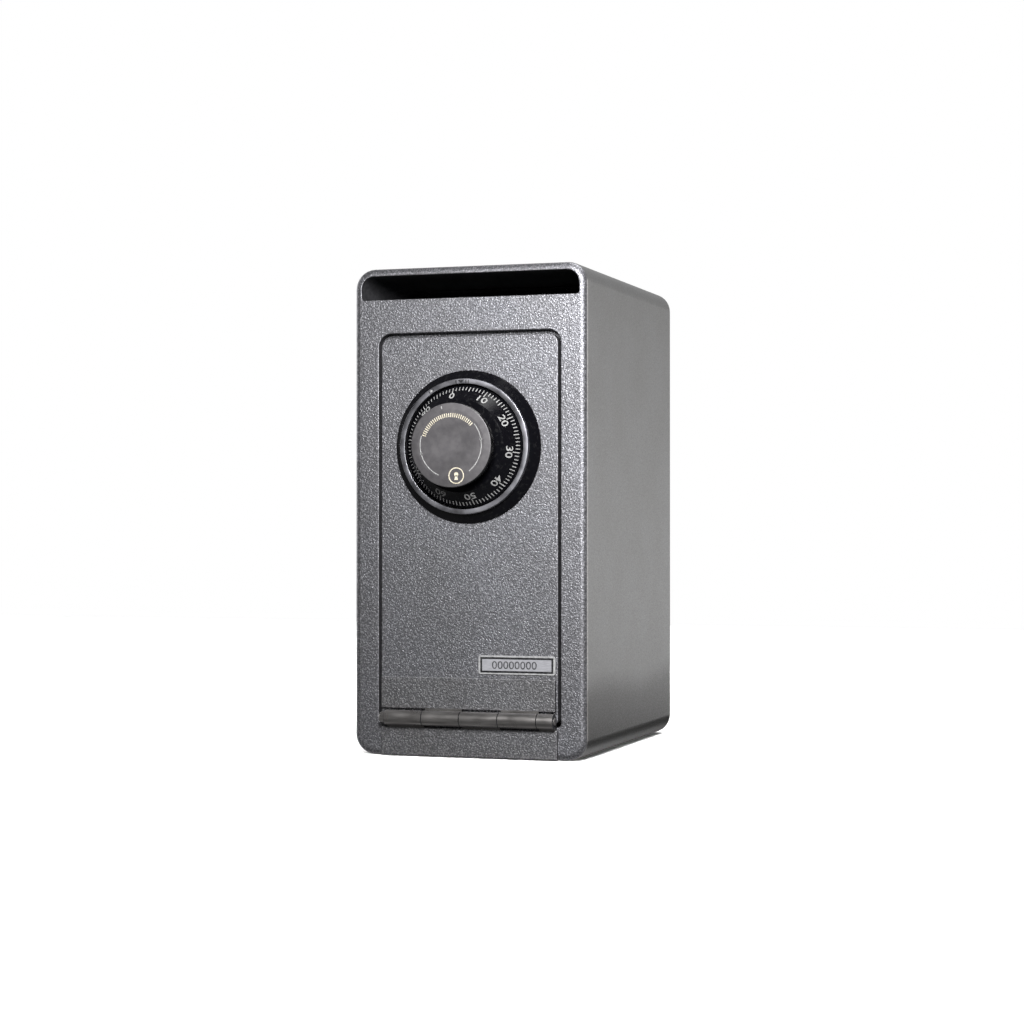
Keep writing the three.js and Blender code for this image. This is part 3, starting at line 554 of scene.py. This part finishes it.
def casing_skin():
    """The shell and the front frame as one skin, painted dark inside as a painted shade of the slot and
    the gaps round the door, and smoother outside on the sides.
    """
    around = (CASE_X0, CASE_X1, CASE_Z0, CASE_Z1)
    shell = slab("casing_skin", around, CORNER, CORNER, 0, CASE_BACK, EDGE, REAR_EDGE)
    x0, x1, z0, z1 = CASE_X0 + WALL, CASE_X1 - WALL, CASE_Z0 + WALL, CASE_Z1 - WALL
    inner = CORNER - WALL
    cavity = loft(
        "cutter", [inset_loop((x0, x1, z0, z1), inner, inner, 0, d) for d in (PLATE, CASE_BACK + PAST)]
    )
    slot = mouth((x0, x1, SLOT_FLOOR, z1), inner, 1.6, 0, PLATE + PAST, SLOT_EDGE)
    opening = (
        DOOR_X0 - DOOR_GAP,
        DOOR_X1 + DOOR_GAP,
        DOOR_Z0 - OPENING_FOOT,
        DOOR_Z1 + DOOR_HEADROOM,
    )
    doorway = mouth(opening, OPENING_CORNER, FOOT_CORNER, 0, PLATE + PAST, OPENING_EDGE)
    anchors = [
        drill_down(ANCHOR, x, depth, -PAST, WALL + PAST)
        for x in (-ANCHOR_X, ANCHOR_X)
        for depth in (ANCHOR_END, CASE_BACK - ANCHOR_END)
    ]
    carve(shell, cavity, slot, doorway, *anchors, *(crease(x, foot) for x, foot in CREASES))
    smooth(shell)
    place(shell, "casing", "paint", "body_shell", "front_frame")
    shell.data.materials.append(FINISH["chute_black"])
    shell.data.materials.append(SMOOTH_PAINT)
    slack = 0.5
    for face in shell.data.polygons:
        x, depth, z = in_mm(face.center)
        if face.normal.y > -0.45:
            face.material_index = 2
        inside_x = abs(x) < CASE_X1 - WALL + slack
        inside_z = WALL - slack < z < CASE_Z1 - WALL + slack
        # painted shade: faces inside the slot, the cavity and the doorway get the black finish so the slot
        # and the gaps round the door read dark
        if inside_x and inside_z and SHADE_PAINT_DEPTH < depth < CASE_BACK - 1:
            face.material_index = 1
    return shell


LOCK_SCREW_X = 20.6
LOCK_SCREW_RISES = (41.3, -25.4)  # above and below the dial's axis
LOCK_SCREW_HOLE = 2.8
LOCK_SCREW_START = 2.0
TUBE_HOLE = 6.2
RING_SCREW_X = 25
RING_SCREW_HOLE = 2.0
RING_SCREW_END = 4.7


def door_skin():
    """The door's plate with its holes, painted dark on its sides and its inner face: a painted shade of
    the gaps round the door, and on the inner face a painted shade that tones down the key light's glare.
    """
    around = (DOOR_X0, DOOR_X1, DOOR_Z0, DOOR_Z1)
    skin = slab("door_skin", around, DOOR_CORNER, FOOT_CORNER, 0, PLATE, 0.8, 0.4)
    holes = [drill(TUBE_HOLE, 0, AXIS_Z, -PAST, PLATE + PAST)]
    for x in (-RING_SCREW_X, RING_SCREW_X):
        holes.append(drill(RING_SCREW_HOLE, x, AXIS_Z, -PAST, RING_SCREW_END))
    for x in (-LOCK_SCREW_X, LOCK_SCREW_X):
        for rise in LOCK_SCREW_RISES:
            holes.append(drill(LOCK_SCREW_HOLE, x, AXIS_Z + rise, LOCK_SCREW_START, PLATE + PAST))
    carve(skin, *holes)
    smooth(skin)
    place(skin, "door", "paint", "door_plate")
    skin.data.materials.append(FINISH["chute_black"])
    # painted shade: the door's side faces and its inner face get the black finish, for the shade in the
    # gaps and to tone down the glare on the inner face
    for face in skin.data.polygons:
        if face.normal.y > -0.2 and face.center.y > FACE + 1.0 * MM:
            face.material_index = 1
    return skin


# ------------------------------------------------------------------ hinge

HINGE_DEPTH = -5.0
HINGE_Z = 24.1
LEAF_FRONT = -2.6
LEAF_BACK = -0.3
KNUCKLE = 4.7
EYE = 2.55
KNUCKLES = [(-53.1, -28.1), (-28.1, -3.3), (-3.3, 21.7), (21.7, 46.7), (46.7, 57.4)]
SEAM = 0.3
KNUCKLE_EDGE = 0.34
NOTCH_CLEARANCE = 1.0  # from the other leaf's knuckles to the foot of a notch
ROOT_LAP = 2.0  # how far a rolled strip runs into the flat of its leaf
UPPER_LEAF = (-57.0, 56.9, HINGE_Z, 49.3)
LOWER_LEAF = (-57.0, 58.2, 0.6, HINGE_Z)


def rolled_strip(up, root):
    """The (depth, z) outline of a leaf that rolls round the pin and ends against its own face."""
    tail, steps = math.radians(66), 40
    outer, inner = [], []
    for step in range(steps + 1):
        turn = (2 * math.pi - tail) * step / steps
        outer.append((HINGE_DEPTH + KNUCKLE * math.cos(turn), HINGE_Z - up * KNUCKLE * math.sin(turn)))
        if turn > math.radians(14):
            inner.append((HINGE_DEPTH + EYE * math.cos(turn), HINGE_Z - up * EYE * math.sin(turn)))
    front = [(LEAF_FRONT, HINGE_Z + up * 0.6), (LEAF_FRONT, root)]
    return [(LEAF_BACK, root)] + outer + inner[::-1] + front


def hinge_leaf(name, rect, up, own, body, node):
    """A leaf with its own rolled knuckles. up is 1 for the door's leaf and -1 for the casing's."""
    x0, x1, z0, z1 = rect
    notch = HINGE_Z + up * (KNUCKLE + NOTCH_CLEARANCE)
    root = notch + up * ROOT_LAP
    low, high = (notch, z1) if up > 0 else (z0, notch)
    leaf = slab(name, (x0, x1, low, high), 0.4, 0.4, LEAF_FRONT, LEAF_BACK, 0.45, 0.05)
    strip = rolled_strip(up, root)
    weld(leaf, *(prism("knuckle", strip, KNUCKLES[i][0] + SEAM, KNUCKLES[i][1] - SEAM) for i in own))
    bevel(leaf, KNUCKLE_EDGE, 55)
    smooth(leaf, 28)
    place(leaf, body, "hinge_steel", node)
    leaf.data.materials.append(BARREL)
    leaf.data.materials.append(FINISH["chute_black"])
    # painted shade: the knuckles' end faces and the faces in the seams between them get the black finish,
    # so the seams and the ends read dark
    for face in leaf.data.polygons:
        _, depth, z = in_mm(face.center)
        if depth < LEAF_FRONT - 0.05 or abs(z - HINGE_Z) < KNUCKLE - 0.3:
            face.material_index = 2 if abs(face.normal.x) > 0.9 else 1
    return leaf


def hinge_pin():
    """The pin with its domed head on the left and its plain end on the right."""
    x0, x1 = -57.0, 58.0
    profile = [
        (x0, 0.0), (x0, 2.3), (x0 + 0.35, 3.0), (x0 + 0.9, 3.4), (-53.7, 3.4), (-53.4, 3.1), (-53.4, 2.4),
        (x1 - 0.4, 2.4), (x1, 1.9), (x1, 0.0),
    ]
    steps = 32
    bm = bmesh.new()
    rows = []
    for step in range(steps):
        turn = 2 * math.pi * step / steps
        row = []
        for x, r in profile:
            row.append(bm.verts.new(at(x, HINGE_DEPTH + r * math.cos(turn), HINGE_Z + r * math.sin(turn))))
        rows.append(row)
    for a, b in zip(rows, rows[1:] + rows[:1]):
        for i in range(len(profile) - 1):
            bm.faces.new((a[i], a[i + 1], b[i + 1], b[i]))
    bmesh.ops.remove_doubles(bm, verts=bm.verts[:], dist=SAME_PLACE)
    pin = smooth(from_bmesh(bm, "hinge_pin_turned"))
    return place(pin, "casing", "hinge_steel", "hinge_pin", skin=BARREL)


# ------------------------------------------------------------------ marks


def flat_marks(name, polygons, low, high, body, slot, skin=None):
    """Thin closed plates on a plane that faces the front, from lists of (x, z) points."""
    bm = bmesh.new()
    for points in polygons:
        rows = [[bm.verts.new(at(x, -height, z)) for x, z in points] for height in (low, high)]
        for i in range(len(points)):
            j = (i + 1) % len(points)
            bm.faces.new((rows[0][i], rows[0][j], rows[1][j], rows[1][i]))
        bm.faces.new(rows[0])
        bm.faces.new(rows[1])
    return place(from_bmesh(bm, name), body, slot, skin=skin)


def polar(radius, degrees):
    """x and z of a point round the dial's axis, clockwise from the top."""
    turn = math.radians(degrees)
    return radius * math.sin(turn), AXIS_Z + radius * math.cos(turn)


def arc_band(inner, outer, start, end, step=3.0):
    """The outline of a band between two radii and two turns round the dial's axis."""
    count = max(1, round(abs(end - start) / step))
    turns = [start + (end - start) * i / count for i in range(count + 1)]
    return [polar(outer, t) for t in turns] + [polar(inner, t) for t in reversed(turns)]


def text_mesh(text, height, thickness, bold):
    """Digits as a closed mesh, centred, with the given height and wall thickness."""
    curve = bpy.data.curves.new("digits", "FONT")
    curve.body = text
    curve.size = height * 1.36
    curve.align_x = "CENTER"
    curve.align_y = "CENTER"
    curve.extrude = thickness / 2
    curve.offset = bold
    curve.resolution_u = 4
    holder = bpy.data.objects.new("digits", curve)
    bpy.context.scene.collection.objects.link(holder)
    mesh = bpy.data.meshes.new_from_object(holder.evaluated_get(bpy.context.evaluated_depsgraph_get()))
    bpy.data.objects.remove(holder)
    bpy.data.curves.remove(curve)
    middle = (max(v.co.y for v in mesh.vertices) + min(v.co.y for v in mesh.vertices)) / 2
    for vertex in mesh.vertices:
        vertex.co.y -= middle
    return mesh


# ------------------------------------------------------------------ dial

DIAL_TURN = -11.0  # where 0 stands, clockwise from the top
CONE_R = (37.55, 28.4)
CONE_H = (7.15, 17.0)
CONE_IN = CONE_R[0] - CONE_R[1]
CONE_RISE = CONE_H[1] - CONE_H[0]
CONE_SLANT = math.hypot(CONE_IN, CONE_RISE)


def on_cone(radius, degrees, lift):
    """A point on the dial's cone, lifted off it along its normal."""
    share = (CONE_R[0] - radius) / CONE_IN
    height = CONE_H[0] + share * CONE_RISE
    out_r = CONE_RISE / CONE_SLANT
    out_h = CONE_IN / CONE_SLANT
    x, z = polar(radius + out_r * lift, degrees)
    return at(x, -(height + out_h * lift), z)


def tick(index):
    """The inner radius and the width of a graduation, longest at the tens."""
    if index % 10 == 0:
        return 33.1, 0.62
    if index % 5 == 0:
        return 33.8, 0.58
    return 34.4, 0.54


def graduations():
    bm = bmesh.new()
    lift, sink = 0.07, -0.05
    outer = 36.4
    for index in range(100):
        turn = DIAL_TURN + 3.6 * index
        inner, width = tick(index)
        corners = []
        for radius in (outer, inner):
            half = math.degrees(width / 2 / radius)
            pair = [(radius, turn - half), (radius, turn + half)]
            corners += pair if radius == outer else pair[::-1]
        rows = [[bm.verts.new(on_cone(r, t, h)) for r, t in corners] for h in (sink, lift)]
        for i in range(4):
            j = (i + 1) % 4
            bm.faces.new((rows[0][i], rows[0][j], rows[1][j], rows[1][i]))
        bm.faces.new(rows[0])
        bm.faces.new(rows[1])
    return place(from_bmesh(bm, "dial_graduations"), "dial_set", "mark_white")


def numerals():
    bm = bmesh.new()
    centre_radius = 31.5
    radius_per_slope = CONE_IN / CONE_SLANT
    for index in range(10):
        mesh = text_mesh(str(10 * index), 5.0, 0.12, 0.06)
        for vertex in mesh.vertices:
            u, v, w = vertex.co
            radius = centre_radius + v * radius_per_slope
            turn = DIAL_TURN + 36 * index + math.degrees(u * 1.15 / radius)
            vertex.co = on_cone(radius, turn, w + 0.02)
        bm.from_mesh(mesh)
        bpy.data.meshes.remove(mesh)
    bmesh.ops.remove_doubles(bm, verts=bm.verts[:], dist=SAME_PLACE)
    return place(from_bmesh(bm, "dial_numerals"), "dial_set", "mark_white")


def dial_cone():
    profile = [
        (4.5, 4.2), (37.3, 4.2), (37.7, 4.6), (37.7, 6.95), (37.55, 7.15),
        (28.5, 16.95), (28.2, 17.0), (4.5, 17.0),
    ]
    return place(smooth(lathe("dial_cone", profile, 128), 30), "dial_set", "dial_black", "dial")


def knob_fluted():
    flutes = 24
    base, foot, grip, top = 17.3, 21.3, 26.0, 31.0

    def fluted(radius, height, turn):
        if radius < 15 or height > top - 0.8 or height < foot - 0.1:
            return radius
        wave = abs(math.sin(turn * flutes / 2))
        return radius - 0.5 * (1 - wave) ** 2

    profile = [
        (4.5, base), (21.0, base), (21.5, base + 0.4), (21.5, foot), (23.6, 23.4), (25.3, 25.0),
        (25.75, grip), (25.75, 28.0), (25.75, 30.0), (25.9, top - 0.5), (25.6, top), (4.5, top),
    ]
    return place(smooth(lathe("knob_fluted", profile, 192, fluted), 40), "dial_set", "knob_black", "knob")


def cap_disc():
    profile = [
        (0, 31.3), (25.3, 31.3), (25.55, 31.5), (25.45, 31.72), (25.0, 31.86),
        (21.6, 32.08), (21.2, 32.14), (0, 32.14),
    ]
    return place(smooth(lathe("knob_cap_disc", profile, 128), 30), "dial_set", "cap_grey", "knob_cap")


def cap_marks():
    face, top = 32.05, 32.19
    line = (19.45, 19.95)
    shapes = [arc_band(*line, start, end) for start, end in ((50, 143), (-73, -157))]
    shapes += [circle(*polar(19.7, t), 0.7) for t in (80, -105)]
    flat_marks("cap_lines", shapes, face, top, "dial_set", "mark_white")
    flat_marks("cap_pointer", [arc_band(22.6, 24.3, -15.2, -13.9)], 31.85, 32.1, "dial_set", "mark_white")
    bars = [arc_band(16.9, 19.4, t - 0.9, t + 0.9, 2) for t in (-71 + 4.2 * i for i in range(29))]
    flat_marks("cap_bars", bars, face, top, "dial_set", "mark_white", skin=CREAM)
    x, z = polar(18.9, 169)
    flat_ring("cap_badge_ring", x, z, 4.35, 5.0, face, top)
    keyhole_top = circle(x, z + 0.8, 1.35, 24)
    keyhole_foot = [(x - 0.55, z + 0.2), (x + 0.55, z + 0.2), (x + 1.15, z - 2.6), (x - 1.15, z - 2.6)]
    keyhole = [keyhole_top, keyhole_foot]
    flat_marks("cap_badge_keyhole", keyhole, face, top, "dial_set", "mark_white", skin=CREAM)


def flat_ring(name, x, z, inner, outer, low, high):
    profile = [(inner, low), (outer, low), (outer, high), (inner, high)]
    return place(lathe(name, profile, 40, x=x, z=z), "dial_set", "mark_white", skin=CREAM)


def ring_pieces():
    flange = [
        (6.2, 0.3), (47.15, 0.3), (47.4, 0.5), (47.4, 0.9), (47.25, 1.3), (46.9, 1.64), (42.5, 5.62),
        (42.1, 5.98), (41.85, 6.2), (41.8, 5.8), (38.55, 5.8), (38.55, 3.0), (6.2, 3.0),
    ]
    rim = [(38.6, 5.85), (41.8, 5.85), (41.8, 9.1), (41.5, 9.4), (38.95, 9.4), (38.6, 9.1)]
    place(smooth(lathe("dial_ring_flange", flange, 144), 30), "door", "dial_black", "dial_ring")
    place(smooth(lathe("dial_ring_rim", rim, 144), 50), "door", "satin_rim", "dial_ring")


def rim_marks():
    face, top = 9.35, 9.46
    shapes = [
        [polar(41.0, -5.0), polar(41.0, 0.6), polar(38.9, -2.2)],
        arc_band(39.1, 41.0, -7.4, -6.2, 1),
        arc_band(39.1, 41.0, 1.8, 3.0, 1),
        arc_band(39.1, 41.0, 4.2, 5.0, 1),
        arc_band(39.2, 41.1, -29.6, -28.9, 1),
        arc_band(39.2, 41.1, -33.9, -33.2, 1),
    ]
    flat_marks("rim_index", shapes, face, top, "door", "mark_white", skin=MARK_BLACK)
    flat_marks("rim_change_dot", [circle(*polar(40.3, -31.4), 0.75)], face, top, "door", "mark_white")


def label_pieces():
    x0, x1, front, back, z0, z1 = extent("serial_label")
    plate = slab("label_plate", (x0, x1, z0, z1), 1.4, 1.4, front, back, 0.18, 0.04)
    place(smooth(plate, 40), "door", "label", "serial_label", skin=LABEL_EDGE)
    frame_rect = (x0 + 1.25, x1 - 1.25, z0 + 1.0, z1 - 1.0)
    width = 1.25
    border = slab("label_border", frame_rect, 0.5, 0.5, front - 0.05, front + 0.2, 0.02, 0.02)
    inner = tuple(v + s * width for v, s in zip(frame_rect, (1, -1, 1, -1)))
    carve(border, loft("cutter", [inset_loop(inner, 0.3, 0.3, 0, d) for d in (front - 1, front + 1)]))
    place(smooth(border), "door", "label", skin=MARK_BLACK)
    foil = slab("label_foil", inner, 0.25, 0.25, front - 0.03, front + 0.2, 0.01, 0.01)
    place(smooth(foil), "door", "label")
    mesh = text_mesh("00000000", 5.0, 0.1, 0.06)
    middle_x, middle_z = (x0 + x1) / 2 - 1.5, (z0 + z1) / 2
    for vertex in mesh.vertices:
        u, v, w = vertex.co
        vertex.co = at(middle_x + 1.08 * u, front - 0.05 - w, middle_z + v)
    bm = bmesh.new()
    bm.from_mesh(mesh)
    bpy.data.meshes.remove(mesh)
    bmesh.ops.remove_doubles(bm, verts=bm.verts[:], dist=SAME_PLACE)
    place(from_bmesh(bm, "label_digits"), "door", "label", skin=LABEL_INK)


# ------------------------------------------------------------------ behind the door

SCREW_SEAT = 35.55  # depth of the back of the lock's cover


def pan_screw(node, x, z, shank, head, tip, seat, top):
    """A pan-head screw seen from inside the safe, with a straight slot in its head."""
    profile = [
        (0, -tip), (shank * 0.6, -tip), (shank, -tip - 0.8), (shank, -seat), (head, -seat),
        (head, -seat - 0.9), (head * 0.86, -top + 0.35), (head * 0.6, -top), (0, -top),
    ]
    screw = lathe(node + "_turned", profile, 32, x=x, z=z)
    reach, half = head + PAST, 0.55
    corners = ((-reach, -half), (reach, -half), (reach, half), (-reach, half))
    depths = (top - 1.1, top + PAST)
    groove = loft("cutter", [[at(x + a, depth, z + b) for a, b in corners] for depth in depths])
    carve(screw, groove)
    return place(smooth(screw, 40), BODY_OF[node], SLOT_OF[node], node)


def inner_screws():
    for name, count, shank, head in (("lock_mount_screw", 4, 2.5, 4.2), ("cover_screw", 2, 1.7, 3.2)):
        for index in range(count):
            node = f"{name}_{index + 1}"
            x0, x1, front, back, z0, z1 = extent(node)
            pan_screw(node, (x0 + x1) / 2, (z0 + z1) / 2, shank, head, front, SCREW_SEAT, back)


# ------------------------------------------------------------------ assembly

for node, piece in frame["nodes"].items():
    piece.data.materials.clear()
    piece.data.materials.append(FINISH[SLOT_OF[node]])

casing_skin()
door_skin()
hinge_leaf("hinge_upper_rolled", UPPER_LEAF, 1, (1, 3), "door", "hinge_upper_leaf")
hinge_leaf("hinge_lower_rolled", LOWER_LEAF, -1, (0, 2, 4), "casing", "hinge_lower_leaf")
hinge_pin()
ring_pieces()
rim_marks()
dial_cone()
graduations()
numerals()
knob_fluted()
cap_disc()
cap_marks()
label_pieces()
inner_screws()
for node, width in (
    ("back_plate", 0.5), ("door_stop_left", 0.4), ("door_stop_right", 0.4), ("door_stop_top", 0.4),
    ("strike_plate", 0.35), ("dead_bar", 0.6), ("lock_case", 0.5), ("lock_cover", 0.5),
    ("bolt_extension", 0.4), ("lock_bolt", 0.3), ("chute_ramp", 0.3),
):
    dressed(node, width)

# ------------------------------------------------------------------ stage, light and camera


def floor():
    """A white sheet just under the safe's base."""
    reach, steps, drop = 1.7, 12, 0.0002
    places = [reach * (2 * i / steps - 1) for i in range(steps + 1)]
    bm = bmesh.new()
    grid = [[bm.verts.new((x, y, -drop)) for x in places] for y in places]
    for j in range(steps):
        for i in range(steps):
            bm.faces.new((grid[j][i], grid[j][i + 1], grid[j + 1][i + 1], grid[j + 1][i]))
    plane = from_bmesh(bm, "floor")
    mat, tree, shader = new_material("floor_white", Metallic=0.0, Roughness=0.9)
    base = blend(tree, noise(tree, 3, 2.0), (0.9, 0.9, 0.9), (0.94, 0.94, 0.94))
    tree.links.new(base, shader.inputs["Base Color"])
    plane.data.materials.append(mat)
    plane.visible_glossy = False
    plane.visible_diffuse = False
    return plane


def area_light(name, location, target, width, height, power, colour=(1, 1, 1)):
    light = bpy.data.lights.new(name, "AREA")
    light.shape = "RECTANGLE"
    light.size = width
    light.size_y = height
    light.energy = power
    light.color = colour
    holder = bpy.data.objects.new(name, light)
    bpy.context.scene.collection.objects.link(holder)
    holder.location = location
    holder.rotation_euler = (Vector(target) - Vector(location)).to_track_quat("-Z", "Y").to_euler()
    return holder


def world_light():
    """White for the camera, and for light a dimmer surround that stands still.

    It is brighter behind the safe than in front, brighter low than high, and has a dark band
    just below the horizon behind the safe.
    """
    world = bpy.data.worlds.new("studio")
    world.use_nodes = True
    tree = world.node_tree
    background = tree.nodes["Background"]
    background.inputs["Strength"].default_value = 1.0
    parts = tree.nodes.new("ShaderNodeSeparateXYZ")
    tree.links.new(coords(tree, "Generated"), parts.inputs["Vector"])
    back, rise = parts.outputs["Y"], parts.outputs["Z"]
    surround = spread(tree, back, -0.5, 0.9, 0.06, 0.5)
    surround = math_node(tree, "MULTIPLY", surround, spread(tree, rise, -0.12, 0.16, 1.5, 0.6))
    shade = spread(tree, rise, -0.105, -0.055, 0.88, 0.0)
    shade = math_node(tree, "MULTIPLY", shade, spread(tree, rise, -0.42, -0.22, 0.25, 1.0))
    shade = math_node(tree, "MULTIPLY", shade, spread(tree, back, 0.3, 0.8, 0.0, 1.0))
    surround = math_node(tree, "MULTIPLY", surround, spread(tree, shade, 0.0, 1.0, 1.0, 0.0))
    path = tree.nodes.new("ShaderNodeLightPath")
    colour = blend(tree, path.outputs["Is Camera Ray"], surround, (1.0, 1.0, 1.0))
    tree.links.new(colour, background.inputs["Color"])
    bpy.context.scene.world = world


def only_on(light, target):
    """Keeps a light on one object, here the floor, so that it doesn't flatten the safe."""
    receivers = bpy.data.collections.new("lit_by_" + light.name)
    receivers.objects.link(target)
    light.light_linking.receiver_collection = receivers


stage_floor = floor()
world_light()
area_light("key", (0.22, -0.72, 0.46), (0.06, -0.1, 0.25), 0.26, 0.26, 8.7)
area_light("top", (0.35, 0.12, 1.3), (0.0, 0.0, 0.25), 0.7, 0.5, 8)
area_light("side", (1.5, 1.2, 0.25), (0.07, 0.0, 0.08), 0.9, 1.0, 5.2, (1.0, 0.975, 0.94))
area_light("left_fill", (-1.6, 0.45, 0.5), (-0.076, 0.0, 0.15), 1.0, 1.0, 7)
only_on(area_light("floor_wash", (0.0, 0.2, 2.2), (0.0, 0.2, 0.0), 3.4, 3.4, 150), stage_floor)

YAW, PITCH = 0.324, 0.00668  # radians to the left of straight ahead, and up
camera = bpy.data.objects.new("camera", bpy.data.cameras.new("camera"))
bpy.context.scene.collection.objects.link(camera)
camera.data.sensor_width = 36
camera.data.lens = 77.5
camera.location = (0.45983, -1.38622, 0.14285)
look = Vector((-math.sin(YAW) * math.cos(PITCH), math.cos(YAW) * math.cos(PITCH), math.sin(PITCH)))
camera.rotation_euler = look.to_track_quat("-Z", "Y").to_euler()
bpy.context.scene.camera = camera
bpy.context.scene.view_settings.view_transform = "Standard"
